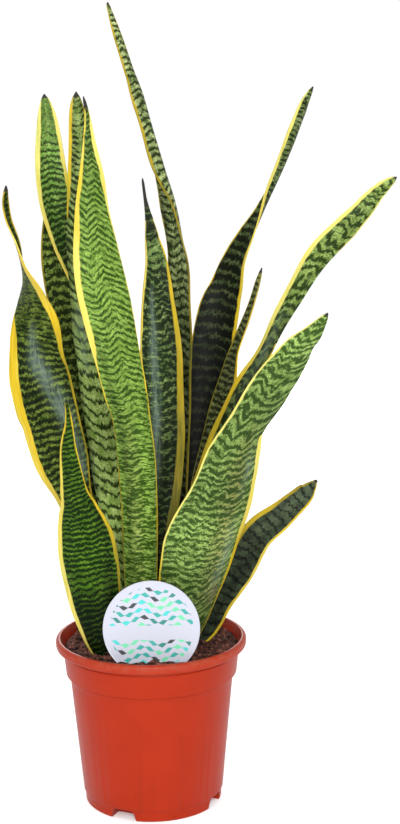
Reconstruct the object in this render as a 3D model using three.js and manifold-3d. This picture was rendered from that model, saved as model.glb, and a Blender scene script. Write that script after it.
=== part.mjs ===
// A potted snake plant with yellow-edged leaves: a round nursery pot, its soil, thirteen strap
// leaves that rise out of it in two clumps, and a round plant label pushed in behind the front rim.
// Millimetres, +Z up. The origin is on the pot's axis, on the surface that the pot stands on, and
// -Y is the front.

import * as THREE from "three";
import { mergeVertices } from "three/addons/utils/BufferGeometryUtils.js";
import Module from "manifold-3d";

const wasm = await Module();
wasm.setup();

// Driving dimensions of the pot, a 12 cm nursery pot of moulded polypropylene.
const POT_HEIGHT = 107;
const RIM_RADIUS = 60;
const LIP_HEIGHT = 8;
const COLLAR_TOP_RADIUS = 55.3;
const COLLAR_BOTTOM_RADIUS = 53.9;
const COLLAR_BOTTOM = 82;
const BODY_TOP = 77;
const BODY_TOP_RADIUS = 51;
const BODY_BOTTOM_RADIUS = 44.4;
const FOOT_HEIGHT = 7;
const FOOT_RADIUS = 43.2;
const WALL = 1.6;
const FLOOR = 2;
const LIP_WALL = 3;
const LIP_ROUND = 2;
const SOFT_EDGE = 0.8;
const STEP_BULGE = 0.9;
const POT_SIDES = 48;

// Four arches in the foot let water out. Their middles are given as turns from the front, -Y.
const ARCH_TURNS = [-24.5, 65.5, 155.5, 245.5];
const ARCH_WIDTH = 19;
const ARCH_TOP_WIDTH = 14;
const ARCH_SPRING = 1.5;
const ARCH_DEPTH = 11;
const DRAIN_RADIUS = 3;
const DRAIN_SIDES = 12;

// How far a cutting solid runs on past what it cuts.
const OVERSHOOT = 8;

// Driving dimensions of the soil.
const SOIL_TOP = 101.5;
const SOIL_MOUND = 2;
const SOIL_RELIEF = 1.5;
const LUMP_SPACING = 3.4;
const SOIL_RINGS = 6;
const GAP = 0.3;

// Driving dimensions of the label, a thin printed disc on a stake.
const LABEL_RADIUS = 29.5;
const LABEL_THICKNESS = 1;
const LABEL_CENTRE = [1.5, -39, 123.5];
const LABEL_LEAN = 6;
const LABEL_SIDES = 48;
const STAKE_WIDTH = 9;
const STAKE_LENGTH = 56;
const STAKE_POINT = 10;

// Driving dimensions that all the leaves share. A leaf is thickest along its middle at the base,
// where its channel is deepest too. The channel opens between two shares of the leaf's length.
const BASE_THICKNESS = 3.4;
const TIP_THICKNESS = 1;
const EDGE_THICKNESS = 0.8;
const TIP_WIDTH = 0.8;
const BASE_CHANNEL = 0.22;
const BLADE_CHANNEL = 0.08;
const CHANNEL_OPENS_FROM = 0.05;
const CHANNEL_OPEN_BY = 0.45;
const FOLD_REACH = 42;
const FACETS_ACROSS = 4;
const STEPS_PER_STATION = 3;

// Every leaf is a route of stations from its foot in the soil to its tip, chosen by hand:
// [x, y, z, width, turn]. Turn is how far the blade is turned about its own length, in degrees:
// 0 shows its face to the front, 90 its edge. Channel is 1 where the edges curl towards the front
// face and -1 where they curl away from it. A fold is a height at which the blade closes into a
// deeper channel, as it does where it turns over, with the depth as a share of the width.
const LEAVES = [
  {
    name: "leaf_left_low",
    channel: -1,
    stations: [
      [-33, 2, 72, 15, -35],
      [-33, 2, 98, 17, -30],
      [-37, -3, 156, 19, -15],
      [-46, -5, 194, 22.8, -6],
      [-54.2, -8, 222, 34.4, -2],
      [-64, -13, 267, 38, 0],
      [-67, -15, 288, 35.5, -8],
      [-66.5, -17, 309, 32.5, -32],
      [-69, -18, 327, 26, -56],
      [-73, -18, 341, 18.5, -77],
      [-76, -19, 356, 11, -96],
      [-79.5, -20, 369, 7.5, -108],
      [-81, -20, 380, 6, -118],
      [-80, -21, 390, 2, -124],
    ],
  },
  {
    name: "leaf_left_tall",
    channel: 1,
    stations: [
      [-14, 18, 72, 14, 0],
      [-14, 18, 98, 17, 5],
      [-18, 22, 150, 22.5, 12],
      [-20, 27, 201, 26.5, 18],
      [-24, 32, 258, 28, 22],
      [-31, 38, 311, 28, 24],
      [-47.5, 43, 349, 23.5, 22],
      [-56.5, 46, 374, 21.5, 18],
      [-60, 49, 400, 19, 14],
      [-61, 51, 424, 13.5, 10],
      [-62, 53, 435, 8.5, 8],
      [-63, 54, 443, 2, 8],
    ],
  },
  {
    name: "leaf_left_rear",
    channel: 1,
    stations: [
      [-25, 26, 72, 14, -10],
      [-25, 26, 98, 16, -5],
      [-26, 34, 160, 19, 5],
      [-33, 42, 207, 23, 15],
      [-44, 51, 261, 26.5, 25],
      [-51, 56, 295, 26, 30],
      [-57.5, 61, 325, 23, 32],
      [-61.5, 65, 351, 16.5, 32],
      [-63, 69, 380, 2, 30],
    ],
  },
  {
    name: "leaf_left_middle",
    channel: 1,
    stations: [
      [-15, 7, 72, 15, 0],
      [-15, 7, 98, 17, 0],
      [-15, 10, 154, 22, -5],
      [-21.4, 13, 202, 25.2, -12],
      [-28, 15, 255, 26.6, -18],
      [-33, 19, 305, 27.5, -20],
      [-38, 22, 355, 21.5, -18],
      [-38.5, 24, 405, 16, -12],
      [-40.5, 26, 432, 9.5, -8],
      [-41, 27, 444, 2, -5],
    ],
  },
  {
    name: "leaf_front_tall",
    channel: -1,
    stations: [
      [-6, -11, 72, 14, 5],
      [-6, -11, 98, 17, 5],
      [-4.7, -16, 160, 20.9, 10],
      [-5, -20, 212, 23, 15],
      [-8.4, -23.8, 251, 23.4, 17],
      [-12, -25, 269, 26.4, 18],
      [-19.3, -26, 306, 30.1, 20],
      [-25, -27, 335, 31, 20],
      [-29, -27, 370, 22, 18],
      [-29, -28, 394, 15, 15],
      [-30, -28, 413, 8, 12],
      [-31, -27, 430, 3, 10],
      [-33, -27, 441, 1, 10],
    ],
  },
  {
    name: "leaf_front_short",
    channel: -1,
    stations: [
      [-27, -28, 72, 9, -10],
      [-28, -28, 98, 10, -10],
      [-31, -28, 114, 20.5, -14],
      [-34.7, -27, 139, 32.9, -18],
      [-37, -27, 160, 39.5, -20],
      [-38.5, -29, 180, 35.5, -20],
      [-41, -32, 197, 24, -18],
      [-44, -34, 210, 16.5, -15],
      [-46, -40, 235, 10, -10],
      [-45, -43, 252, 4.5, -5],
      [-46, -46, 267, 1.5, 0],
    ],
  },
  {
    name: "leaf_centre",
    channel: 1,
    stations: [
      [3, 3, 72, 14, 0],
      [3, 3, 98, 17, 3],
      [2.2, 3, 155, 20, 10],
      [8, 5, 212, 26.4, 18],
      [9.2, 7, 250, 26.9, 20],
      [8, 9, 291, 26.5, 20],
      [7, 11, 321, 19.5, 18],
      [6.5, 13, 340, 14, 15],
      [4.5, 13, 355, 9.5, 12],
      [1.5, 14, 371, 4, 10],
      [-1, 15, 392, 1.2, 10],
    ],
  },
  {
    name: "leaf_tallest",
    channel: 1,
    fold: { height: 398, depth: 0.36 },
    stations: [
      [6, 20, 72, 14, 0],
      [6, 20, 98, 17, 0],
      [11, 25, 149, 20, -2],
      [13, 32, 200, 23, -6],
      [18, 39, 279, 24, -28],
      [21, 45, 326, 19.5, -44],
      [20, 48, 351, 18, -54],
      [17.5, 51, 373, 17, -64],
      [12.5, 53, 392, 15.5, -84],
      [-1, 59, 436, 11.5, -122],
      [-9.5, 62, 459, 8, -130],
      [-17, 65, 481, 6, -132],
      [-23, 68, 499, 2.4, -134],
    ],
  },
  {
    name: "leaf_right_rear",
    channel: 1,
    fold: { height: 378, depth: 0.16 },
    stations: [
      [14, 33, 72, 14, 0],
      [14, 33, 98, 16, 0],
      [21, 43, 143, 20, -3],
      [29, 53, 200, 25, -6],
      [37, 61, 253, 28.5, -8],
      [45.5, 69, 300, 26, -10],
      [51, 72, 318, 21.5, -16],
      [56.5, 75, 334, 18, -32],
      [65.5, 78, 351, 16, -52],
      [73.5, 80, 365, 15, -74],
      [86.5, 84, 392, 14, -112],
      [99, 89, 425, 10.5, -130],
      [103, 91, 436, 7.5, -136],
      [108, 93, 446, 1.5, -140],
    ],
  },
  {
    name: "leaf_right_thin",
    channel: 1,
    stations: [
      [25, 23, 72, 13, -5],
      [25, 23, 98, 15, -5],
      [27, 31, 147, 17, -8],
      [35, 38, 192, 18, -14],
      [43, 43, 223, 20, -25],
      [52.7, 49, 267, 17.5, -57],
      [57, 51, 283, 13, -68],
      [67, 56, 310, 9, -68],
      [71, 58, 324, 5, -60],
      [73, 59, 332, 1, -60],
    ],
  },
  {
    name: "leaf_right_long",
    channel: 1,
    stations: [
      [20, 7, 72, 14, 0],
      [20, 7, 98, 16, 0],
      [20, 11, 145, 19, -5],
      [30, 15, 180, 18, -18],
      [44.2, 21, 224, 17.8, -46],
      [58.5, 26, 257, 19.5, -60],
      [73.5, 32, 280, 18, -62],
      [88.5, 35, 309, 16.5, -50],
      [107, 40, 339, 17.5, -28],
      [125, 43, 358, 16, -14],
      [134, 45, 367, 13.5, -8],
      [143.5, 47, 377, 10.5, -5],
      [158, 51, 389, 2.6, 0],
    ],
  },
  {
    name: "leaf_right_broad",
    channel: -1,
    stations: [
      [16, -13, 72, 15, 5],
      [16, -13, 98, 20, 8],
      [23.6, -18, 127, 35.2, 14],
      [32.8, -26, 164, 48.6, 20],
      [37, -30, 180, 49, 22],
      [50.1, -38, 218, 40.8, 24],
      [53.6, -40.5, 228, 35.4, 23],
      [55, -41.5, 236, 30.4, 23],
      [63.2, -46, 254, 29.8, 22],
      [79, -52, 280, 26.5, 20],
      [89, -56, 296, 19.5, 18],
      [97.5, -59, 305.5, 12.5, 15],
      [106, -62, 318, 2, 10],
    ],
  },
  {
    name: "leaf_right_low",
    channel: 1,
    stations: [
      [27, -0.5, 72, 10, -10],
      [27, -0.5, 98, 10.5, -10],
      [36.6, -1, 114.6, 15.5, -15],
      [44.3, -1.5, 132.2, 19, -20],
      [55.2, -7, 152.4, 22, -24],
      [67.1, -13.5, 174.7, 20, -25],
      [80, -18, 187, 17.5, -24],
      [95, -21, 201, 12, -20],
      [99.5, -23, 206, 7, -15],
      [103, -24, 211, 1.5, -10],
    ],
  },
];

// The colours of the real materials.
const TERRACOTTA_PLASTIC = { color: 0xc0472c, roughness: 0.45, metalness: 0 };
const POTTING_SOIL = { color: 0x3f241b, roughness: 0.95, metalness: 0 };
const LEAF_GREEN = { color: 0x3f6a2c, roughness: 0.4, metalness: 0 };
const LABEL_CARD = { color: 0xf2f1f7, roughness: 0.5, metalness: 0 };

function piece(name, geometry, finish) {
  const mesh = new THREE.Mesh(geometry, new THREE.MeshStandardMaterial(finish));
  mesh.name = name;
  return mesh;
}

// A geometry as a solid that can be joined and cut.
function solid(geometry) {
  geometry.deleteAttribute("normal");
  geometry.deleteAttribute("uv");
  const merged = mergeVertices(geometry);
  return new wasm.Manifold(
    new wasm.Mesh({
      numProp: 3,
      vertProperties: new Float32Array(merged.attributes.position.array),
      triVerts: new Uint32Array(merged.index.array),
    }),
  );
}

// A solid back as a geometry.
function surface(body) {
  const mesh = body.getMesh();
  const geometry = new THREE.BufferGeometry();
  geometry.setAttribute("position", new THREE.BufferAttribute(mesh.vertProperties, 3));
  geometry.setIndex(new THREE.BufferAttribute(mesh.triVerts, 1));
  geometry.computeVertexNormals();
  return geometry;
}

// A profile of [radius, z] points turned about +Z.
function turned(profile, sides) {
  const points = profile.map(([radius, z]) => new THREE.Vector2(radius, z));
  return new THREE.LatheGeometry(points, sides).rotateX(Math.PI / 2);
}

// The pot's inner wall from the floor up to a height, drawn in from the real wall by a margin.
function innerProfile(top, margin) {
  const inset = WALL + margin;
  const floor = FLOOR + margin;
  const profile = [
    [0, floor],
    [FOOT_RADIUS - inset - SOFT_EDGE, floor],
    [FOOT_RADIUS - inset, floor + SOFT_EDGE],
    [BODY_TOP_RADIUS - inset, BODY_TOP + 1],
    [COLLAR_BOTTOM_RADIUS - inset, COLLAR_BOTTOM + 2],
    [COLLAR_TOP_RADIUS - inset, POT_HEIGHT - LIP_HEIGHT],
  ];
  const [lastRadius, lastHeight] = profile[profile.length - 1];
  const share = (top - lastHeight) / LIP_HEIGHT;
  profile.push([THREE.MathUtils.lerp(lastRadius, RIM_RADIUS - LIP_WALL - margin, share), top]);
  profile.push([0, top]);
  return profile;
}

// An arch of the foot: a short tunnel that runs in from the wall, larger all round by a margin.
function arch(turn, margin) {
  const half = ARCH_WIDTH / 2 + margin;
  const halfTop = ARCH_TOP_WIDTH / 2 + margin;
  const top = FOOT_HEIGHT + margin;
  const outline = new THREE.Shape();
  outline.moveTo(-half, -OVERSHOOT);
  outline.lineTo(half, -OVERSHOOT);
  outline.lineTo(half, ARCH_SPRING);
  outline.quadraticCurveTo(halfTop + 1, top, halfTop - ARCH_SPRING, top);
  outline.lineTo(ARCH_SPRING - halfTop, top);
  outline.quadraticCurveTo(-halfTop - 1, top, -half, ARCH_SPRING);
  outline.closePath();
  const inner = FOOT_RADIUS - ARCH_DEPTH - margin;
  const tunnel = new THREE.ExtrudeGeometry(outline, {
    depth: ARCH_DEPTH + margin + OVERSHOOT,
    bevelEnabled: false,
    curveSegments: 3,
  });
  const azimuth = THREE.MathUtils.degToRad(turn - 90);
  const outward = new THREE.Vector3(Math.cos(azimuth), Math.sin(azimuth), 0);
  const up = new THREE.Vector3(0, 0, 1);
  const along = new THREE.Vector3().crossVectors(up, outward);
  tunnel.translate(0, 0, inner);
  return solid(tunnel.applyMatrix4(new THREE.Matrix4().makeBasis(along, up, outward)));
}

// A drain hole through the roof of an arch.
function drain(turn) {
  const reach = FOOT_RADIUS - ARCH_DEPTH / 2;
  const azimuth = THREE.MathUtils.degToRad(turn - 90);
  const hole = new THREE.CylinderGeometry(DRAIN_RADIUS, DRAIN_RADIUS, OVERSHOOT, DRAIN_SIDES);
  hole.rotateX(Math.PI / 2);
  hole.translate(Math.cos(azimuth) * reach, Math.sin(azimuth) * reach, FOOT_HEIGHT);
  return solid(hole);
}

function pot() {
  const lipBottom = POT_HEIGHT - LIP_HEIGHT;
  const outer = solid(
    turned(
      [
        [0, 0],
        [FOOT_RADIUS - SOFT_EDGE, 0],
        [FOOT_RADIUS, SOFT_EDGE],
        [FOOT_RADIUS + SOFT_EDGE / 2, FOOT_HEIGHT - SOFT_EDGE / 2],
        [BODY_BOTTOM_RADIUS, FOOT_HEIGHT + SOFT_EDGE / 2],
        [BODY_TOP_RADIUS, BODY_TOP],
        [BODY_TOP_RADIUS + STEP_BULGE, (BODY_TOP + COLLAR_BOTTOM) / 2],
        [COLLAR_BOTTOM_RADIUS - SOFT_EDGE, COLLAR_BOTTOM - 1],
        [COLLAR_BOTTOM_RADIUS, COLLAR_BOTTOM],
        [COLLAR_TOP_RADIUS, lipBottom],
        [RIM_RADIUS - SOFT_EDGE, lipBottom + SOFT_EDGE],
        [RIM_RADIUS, lipBottom + LIP_ROUND],
        [RIM_RADIUS, POT_HEIGHT - LIP_ROUND],
        [RIM_RADIUS - SOFT_EDGE, POT_HEIGHT - SOFT_EDGE],
        [RIM_RADIUS - LIP_ROUND, POT_HEIGHT],
        [0, POT_HEIGHT],
      ],
      POT_SIDES,
    ),
  );
  let cavity = solid(turned(innerProfile(POT_HEIGHT + OVERSHOOT, 0), POT_SIDES));
  for (const turn of ARCH_TURNS) cavity = cavity.subtract(arch(turn, WALL));
  let body = outer.subtract(cavity);
  for (const turn of ARCH_TURNS) body = body.subtract(arch(turn, 0)).subtract(drain(turn));
  return piece("pot", surface(body), TERRACOTTA_PLASTIC);
}

// All five numbers of a leaf's stations at a place along it, on one smooth curve through them.
function leafAt(stations, place) {
  const last = stations.length - 1;
  const span = Math.min(Math.floor(place), last - 1);
  const t = place - span;
  const from = stations[span];
  const to = stations[span + 1];
  const before = stations[span - 1] ?? from.map((value, k) => 2 * value - to[k]);
  const after = stations[span + 2] ?? to.map((value, k) => 2 * value - from[k]);
  return from.map((value, k) => {
    const slope = to[k] - before[k];
    const bend = 2 * before[k] - 5 * value + 4 * to[k] - after[k];
    const swing = 3 * value - before[k] - 3 * to[k] + after[k];
    return value + (t / 2) * (slope + t * (bend + t * swing));
  });
}

// The two faces of a leaf as rows of points, one row for each step along it, up to the first row
// above a height. A margin makes the leaf larger all round.
function leafRows({ stations, channel, fold }, margin, stopAbove) {
  const rows = [];
  const steps = (stations.length - 1) * STEPS_PER_STATION;
  for (let step = 0; step <= steps; step++) {
    const place = step / STEPS_PER_STATION;
    const [x, y, z, wide, turn] = leafAt(stations, place);
    const nearby = 0.02;
    const back = leafAt(stations, Math.max(place - nearby, 0));
    const ahead = leafAt(stations, Math.min(place + nearby, stations.length - 1));
    const along = new THREE.Vector3(ahead[0] - back[0], ahead[1] - back[1], ahead[2] - back[2]).normalize();
    const angle = THREE.MathUtils.degToRad(turn);
    const across = new THREE.Vector3(Math.cos(angle), Math.sin(angle), 0);
    across.addScaledVector(along, -across.dot(along)).normalize();
    const facing = new THREE.Vector3().crossVectors(across, along);
    const share = step / steps;
    const width = Math.max(wide, TIP_WIDTH) + 2 * margin;
    const middle = THREE.MathUtils.lerp(BASE_THICKNESS, TIP_THICKNESS, Math.sqrt(share)) + 2 * margin;
    const edge = EDGE_THICKNESS + 2 * margin;
    const opened = THREE.MathUtils.smoothstep(share, CHANNEL_OPENS_FROM, CHANNEL_OPEN_BY);
    const folded = fold ? fold.depth * Math.exp(-(((z - fold.height) / FOLD_REACH) ** 2)) : 0;
    const curl = channel * width * (THREE.MathUtils.lerp(BASE_CHANNEL, BLADE_CHANNEL, opened) + folded);
    const row = { front: [], back: [] };
    for (let k = 0; k <= FACETS_ACROSS; k++) {
      const u = (2 * k) / FACETS_ACROSS - 1;
      const thickness = THREE.MathUtils.lerp(middle, edge, u * u);
      const point = new THREE.Vector3(x, y, z);
      point.addScaledVector(across, (u * width) / 2).addScaledVector(facing, curl * u * u);
      row.front.push(point.clone().addScaledVector(facing, thickness / 2));
      row.back.push(point.clone().addScaledVector(facing, -thickness / 2));
    }
    rows.push(row);
    if (z > stopAbove) break;
  }
  return rows;
}

// Rows of points closed into one blade. Both faces are split along the same diagonals.
function blade(rows) {
  const across = rows[0].front.length;
  const ring = 2 * across;
  const positions = rows.flatMap(({ front, back }) => [...front, ...back].flatMap((p) => p.toArray()));
  const front = (i, k) => i * ring + k;
  const back = (i, k) => i * ring + across + k;
  const index = [];
  const quad = (a, b, c, d) => index.push(a, b, c, a, c, d);
  const last = across - 1;
  for (let i = 0; i + 1 < rows.length; i++) {
    for (let k = 0; k < last; k++) {
      quad(front(i, k), front(i, k + 1), front(i + 1, k + 1), front(i + 1, k));
      index.push(back(i, k), back(i + 1, k + 1), back(i, k + 1));
      index.push(back(i, k), back(i + 1, k), back(i + 1, k + 1));
    }
    quad(front(i, last), back(i, last), back(i + 1, last), front(i + 1, last));
    quad(back(i, 0), front(i, 0), front(i + 1, 0), back(i + 1, 0));
  }
  const end = rows.length - 1;
  for (let k = 0; k < last; k++) {
    quad(front(0, k), back(0, k), back(0, k + 1), front(0, k + 1));
    quad(front(end, k), front(end, k + 1), back(end, k + 1), back(end, k));
  }
  const geometry = new THREE.BufferGeometry();
  geometry.setAttribute("position", new THREE.Float32BufferAttribute(positions, 3));
  geometry.setIndex(index);
  geometry.computeVertexNormals();
  return geometry;
}

function leaf(plan) {
  return piece(plan.name, blade(leafRows(plan, 0, Infinity)), LEAF_GREEN);
}

// The hole that a leaf stands in, from just under its foot to above the soil.
function leafHole(plan) {
  const deeper = plan.stations.map(([x, y, z, width, turn], i) => [x, y, i === 0 ? z - GAP : z, width, turn]);
  return solid(blade(leafRows({ ...plan, stations: deeper }, GAP, SOIL_TOP + SOIL_MOUND + 2 * SOIL_RELIEF)));
}

// The label with its stake, grown by a margin all round.
function labelSolid(margin) {
  const thick = LABEL_THICKNESS + 2 * margin;
  const disc = new THREE.CylinderGeometry(LABEL_RADIUS + margin, LABEL_RADIUS + margin, thick, LABEL_SIDES);
  const half = STAKE_WIDTH / 2 + margin;
  const outline = new THREE.Shape();
  outline.moveTo(-half, 0);
  outline.lineTo(half, 0);
  outline.lineTo(half, STAKE_POINT - STAKE_LENGTH);
  outline.lineTo(0, -STAKE_LENGTH - margin);
  outline.lineTo(-half, STAKE_POINT - STAKE_LENGTH);
  outline.closePath();
  const stake = new THREE.ExtrudeGeometry(outline, { depth: thick, bevelEnabled: false });
  stake.translate(0, 0, -thick / 2).rotateX(Math.PI / 2);
  const place = new THREE.Matrix4().makeRotationX(THREE.MathUtils.degToRad(-LABEL_LEAN));
  place.setPosition(...LABEL_CENTRE);
  return solid(disc.applyMatrix4(place)).add(solid(stake.applyMatrix4(place)));
}

function label() {
  return piece("label", surface(labelSolid(0)), LABEL_CARD);
}

// How far the soil's top rises above its edge: a low mound with lumps a finger's width apart.
function relief(x, y, edge) {
  const share = Math.min(Math.hypot(x, y) / edge, 1);
  const [a, b] = [x / LUMP_SPACING, y / LUMP_SPACING];
  const lumps = 0.5 * Math.sin(a + 1) * Math.cos(b) + 0.5 * Math.sin((a + b) / 1.6) * Math.cos((a - b) / 1.3);
  return (1 - share ** 4) * (SOIL_MOUND + SOIL_RELIEF * lumps);
}

function soil() {
  const profile = innerProfile(SOIL_TOP, GAP);
  const [edge] = profile[profile.length - 2];
  const centre = profile.pop();
  for (let ring = SOIL_RINGS - 1; ring > 0; ring--) profile.push([(edge * ring) / SOIL_RINGS, SOIL_TOP]);
  profile.push(centre);
  const ground = turned(profile, POT_SIDES);
  const spots = ground.attributes.position;
  for (let i = 0; i < spots.count; i++) {
    if (spots.getZ(i) > SOIL_TOP - GAP) {
      spots.setZ(i, SOIL_TOP + relief(spots.getX(i), spots.getY(i), edge));
    }
  }
  let body = solid(ground);
  for (const turn of ARCH_TURNS) body = body.subtract(arch(turn, WALL + GAP));
  for (const plan of LEAVES) body = body.subtract(leafHole(plan));
  return piece("soil", surface(body.subtract(labelSolid(GAP))), POTTING_SOIL);
}

const plant = new THREE.Group();
plant.add(pot(), soil(), label(), ...LEAVES.map(leaf));

export default plant;
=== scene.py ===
"""A potted laurentii snake plant: thirteen yellow-edged leaves, their soil, a moulded pot and a label.

The leaves, soil, label and pot are modelled finer than the CAD solids they stand for, in the same
places. Lengths are in millimetres, apart from the studio's, and are turned to metres where a piece is
made.
"""

import math
import random

import bpy
import numpy as np
from mathutils import Matrix, Vector, noise


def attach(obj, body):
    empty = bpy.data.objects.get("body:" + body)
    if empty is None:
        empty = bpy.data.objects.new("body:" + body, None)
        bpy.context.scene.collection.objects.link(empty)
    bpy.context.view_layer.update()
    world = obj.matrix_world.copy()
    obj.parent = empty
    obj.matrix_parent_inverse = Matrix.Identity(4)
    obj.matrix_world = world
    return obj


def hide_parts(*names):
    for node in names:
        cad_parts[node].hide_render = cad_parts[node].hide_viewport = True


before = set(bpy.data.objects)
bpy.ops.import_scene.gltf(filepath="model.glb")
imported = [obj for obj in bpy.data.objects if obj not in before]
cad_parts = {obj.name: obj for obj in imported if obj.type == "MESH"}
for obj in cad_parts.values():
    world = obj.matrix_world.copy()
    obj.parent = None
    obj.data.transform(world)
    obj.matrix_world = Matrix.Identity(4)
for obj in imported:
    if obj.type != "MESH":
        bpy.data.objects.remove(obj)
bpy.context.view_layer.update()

MM = 0.001

# The pot: the CAD's, with the lower edges of the lip and the collar 2 mm higher, as the photo shows them.
# A mould leaves such edges rounded above and sharp beneath.
POT_HEIGHT = 107
RIM_RADIUS = 60
LIP_BOTTOM = POT_HEIGHT - 6.4
LIP_WALL = 3
LIP_ROUND = 2.2
INNER_LIP_ROUND = 0.5
COLLAR_TOP_RADIUS = 55.3
COLLAR_BOTTOM_RADIUS = 53.9
COLLAR_BOTTOM = 84.2
BODY_TOP = 79.2
BODY_TOP_RADIUS = 51
BODY_BOTTOM_RADIUS = 44.4
FOOT_HEIGHT = 7
FOOT_RADIUS = 43.2
FOOT_ROUND = 0.8
WALL = 1.6
FLOOR = 2
# The heights where the inner wall steps out.
INNER_STEPS = (BODY_TOP + 1, COLLAR_BOTTOM + 2, LIP_BOTTOM)
POT_SIDES = 192
ARCH_TURNS = (-24.5, 65.5, 155.5, 245.5)
ARCH_WIDTH = 19
ARCH_TOP_WIDTH = 14
ARCH_DEPTH = 11
ARCH_ROUND = 2.5
# How far the tool that cuts an arch stands out past the foot and under it.
ARCH_PAST = 6
ARCH_BELOW = 4
DRAIN_RADIUS = 3
DRAIN_DEPTH = 8

# The soil, with a low mound, a heap at the back left, and loose crumbs and fibres on it.
SOIL_TOP = 101.5
SOIL_BOTTOM = 10
SOIL_GAP = 0.3
SOIL_SIDES = 140
SOIL_RINGS = 44
MOUND = 2.5
# Each kind of lump: how wide and how high it is, and the layer of noise that makes it.
LUMPS = ((7, 2.2, 3), (2.6, 1.3, 7))
HEAP = 6
HEAP_X, HEAP_Y = -41, 24
HEAP_WIDE, HEAP_DEEP = 9, 11
CRUMBS = 1100
CRUMB_SEED = 12
CRUMB_SHAPES = 4
CRUMB_SIZES = (0.5, 1.9)
FIBRE_SHARE = 0.2
FIBRE_SHAPES = 3
FIBRE_SIZES = (0.8, 1.3)
FIBRE_RADIUS = 0.3
# How far the crumbs stay from the pot's wall and from the label's back.
WALL_CLEAR = 1.5
LABEL_CLEAR = 2

# The label: a disc on a stake that narrows to a point. Its print is waved rows of slim shapes, with a
# bare band across.
LABEL_RADIUS = 29.5
LABEL_THICKNESS = 1
LABEL_EDGE = 0.2
LABEL_CENTRE = (1.5, -39, 123.5)
LABEL_LEAN = 6
STAKE_WIDTH = 9
STAKE_LENGTH = 56
STAKE_POINT = 10
POINT_SHARE = 0.12
PRINT_RADIUS = 25.5
PRINT_ROW = 4.6
PRINT_SHAPE = 5.6
PRINT_WAVE = 0.4
ROW_SHIFT = 0.63
SHAPE_SLIMNESS = 1.5
SHAPE_REACH = 0.73
BARE_MIDDLE = -2.3
BARE_HALF = 4.4
INKS = ((0, "#28847C"), (0.3, "#5BA983"), (0.55, "#282F32"), (0.75, "#38A09E"), (0.88, "#216760"))

# What all the leaves share. A blade is thickest along its middle at the base, and its channel is
# deepest there too. One that is BROAD or more ripples fully, and its bands rise fully.
BASE_THICKNESS = 3.4
TIP_THICKNESS = 1
EDGE_THICKNESS = 0.8
THINNEST_SHARE = 0.2
TIP_WIDTH = 0.8
TIP_ROUND = 3
TIP_BLUNT = 0.15
BROAD = 25
BASE_CHANNEL = 0.22
BLADE_CHANNEL = 0.08
CHANNEL_OPENS_FROM = 0.05
CHANNEL_OPEN_BY = 0.45
FOLD_REACH = 42
RIPPLE = 0.7
RIPPLE_LENGTH = 46
RIPPLE_SHIFT = 1.7
STREAK_FADE = 12
DRY_FADE = 0.35
PLAIN_THINS = 0.3
# A thinner margin than this isn't drawn, and the skin then reads NO_MARGIN.
THINNEST_MARGIN = 0.05
NO_MARGIN = -5
# How finely a blade is made, and its length and directions are measured.
FACES_ACROSS = 24
FACES_PER_STATION = 16
LENGTH_STEPS = 400
LOOK_ASIDE = 0.02
# Where each leaf's noise starts, and what its vertices carry for its skin.
FIRST_SEED, NEXT_SEED = 1.0, 2.3
CARRIED = ("blade", "shade", "bands", "patch")

# The greens are written as they look, and the studio lights a leaf that much brighter than they are.
SKIN_TONE = 0.58
# How far the painted shade is lifted on faces turned to the back.
REAR_TONE = 0.45 * SKIN_TONE
OLIVE_GREEN = "#8C8C50"
# The grey of a painted sheen: light reflected by the wax, laid on the blades in streaks.
PAINTED_SHEEN_GREY = "#617065"
BROWN_PATCH = "#524534"
PALE_YELLOW = "#B9B363"
GOLDEN_YELLOW = "#AB911D"
SHADED_OLIVE_YELLOW = "#534E19"
DRIED_TIP = "#25221F"
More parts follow.
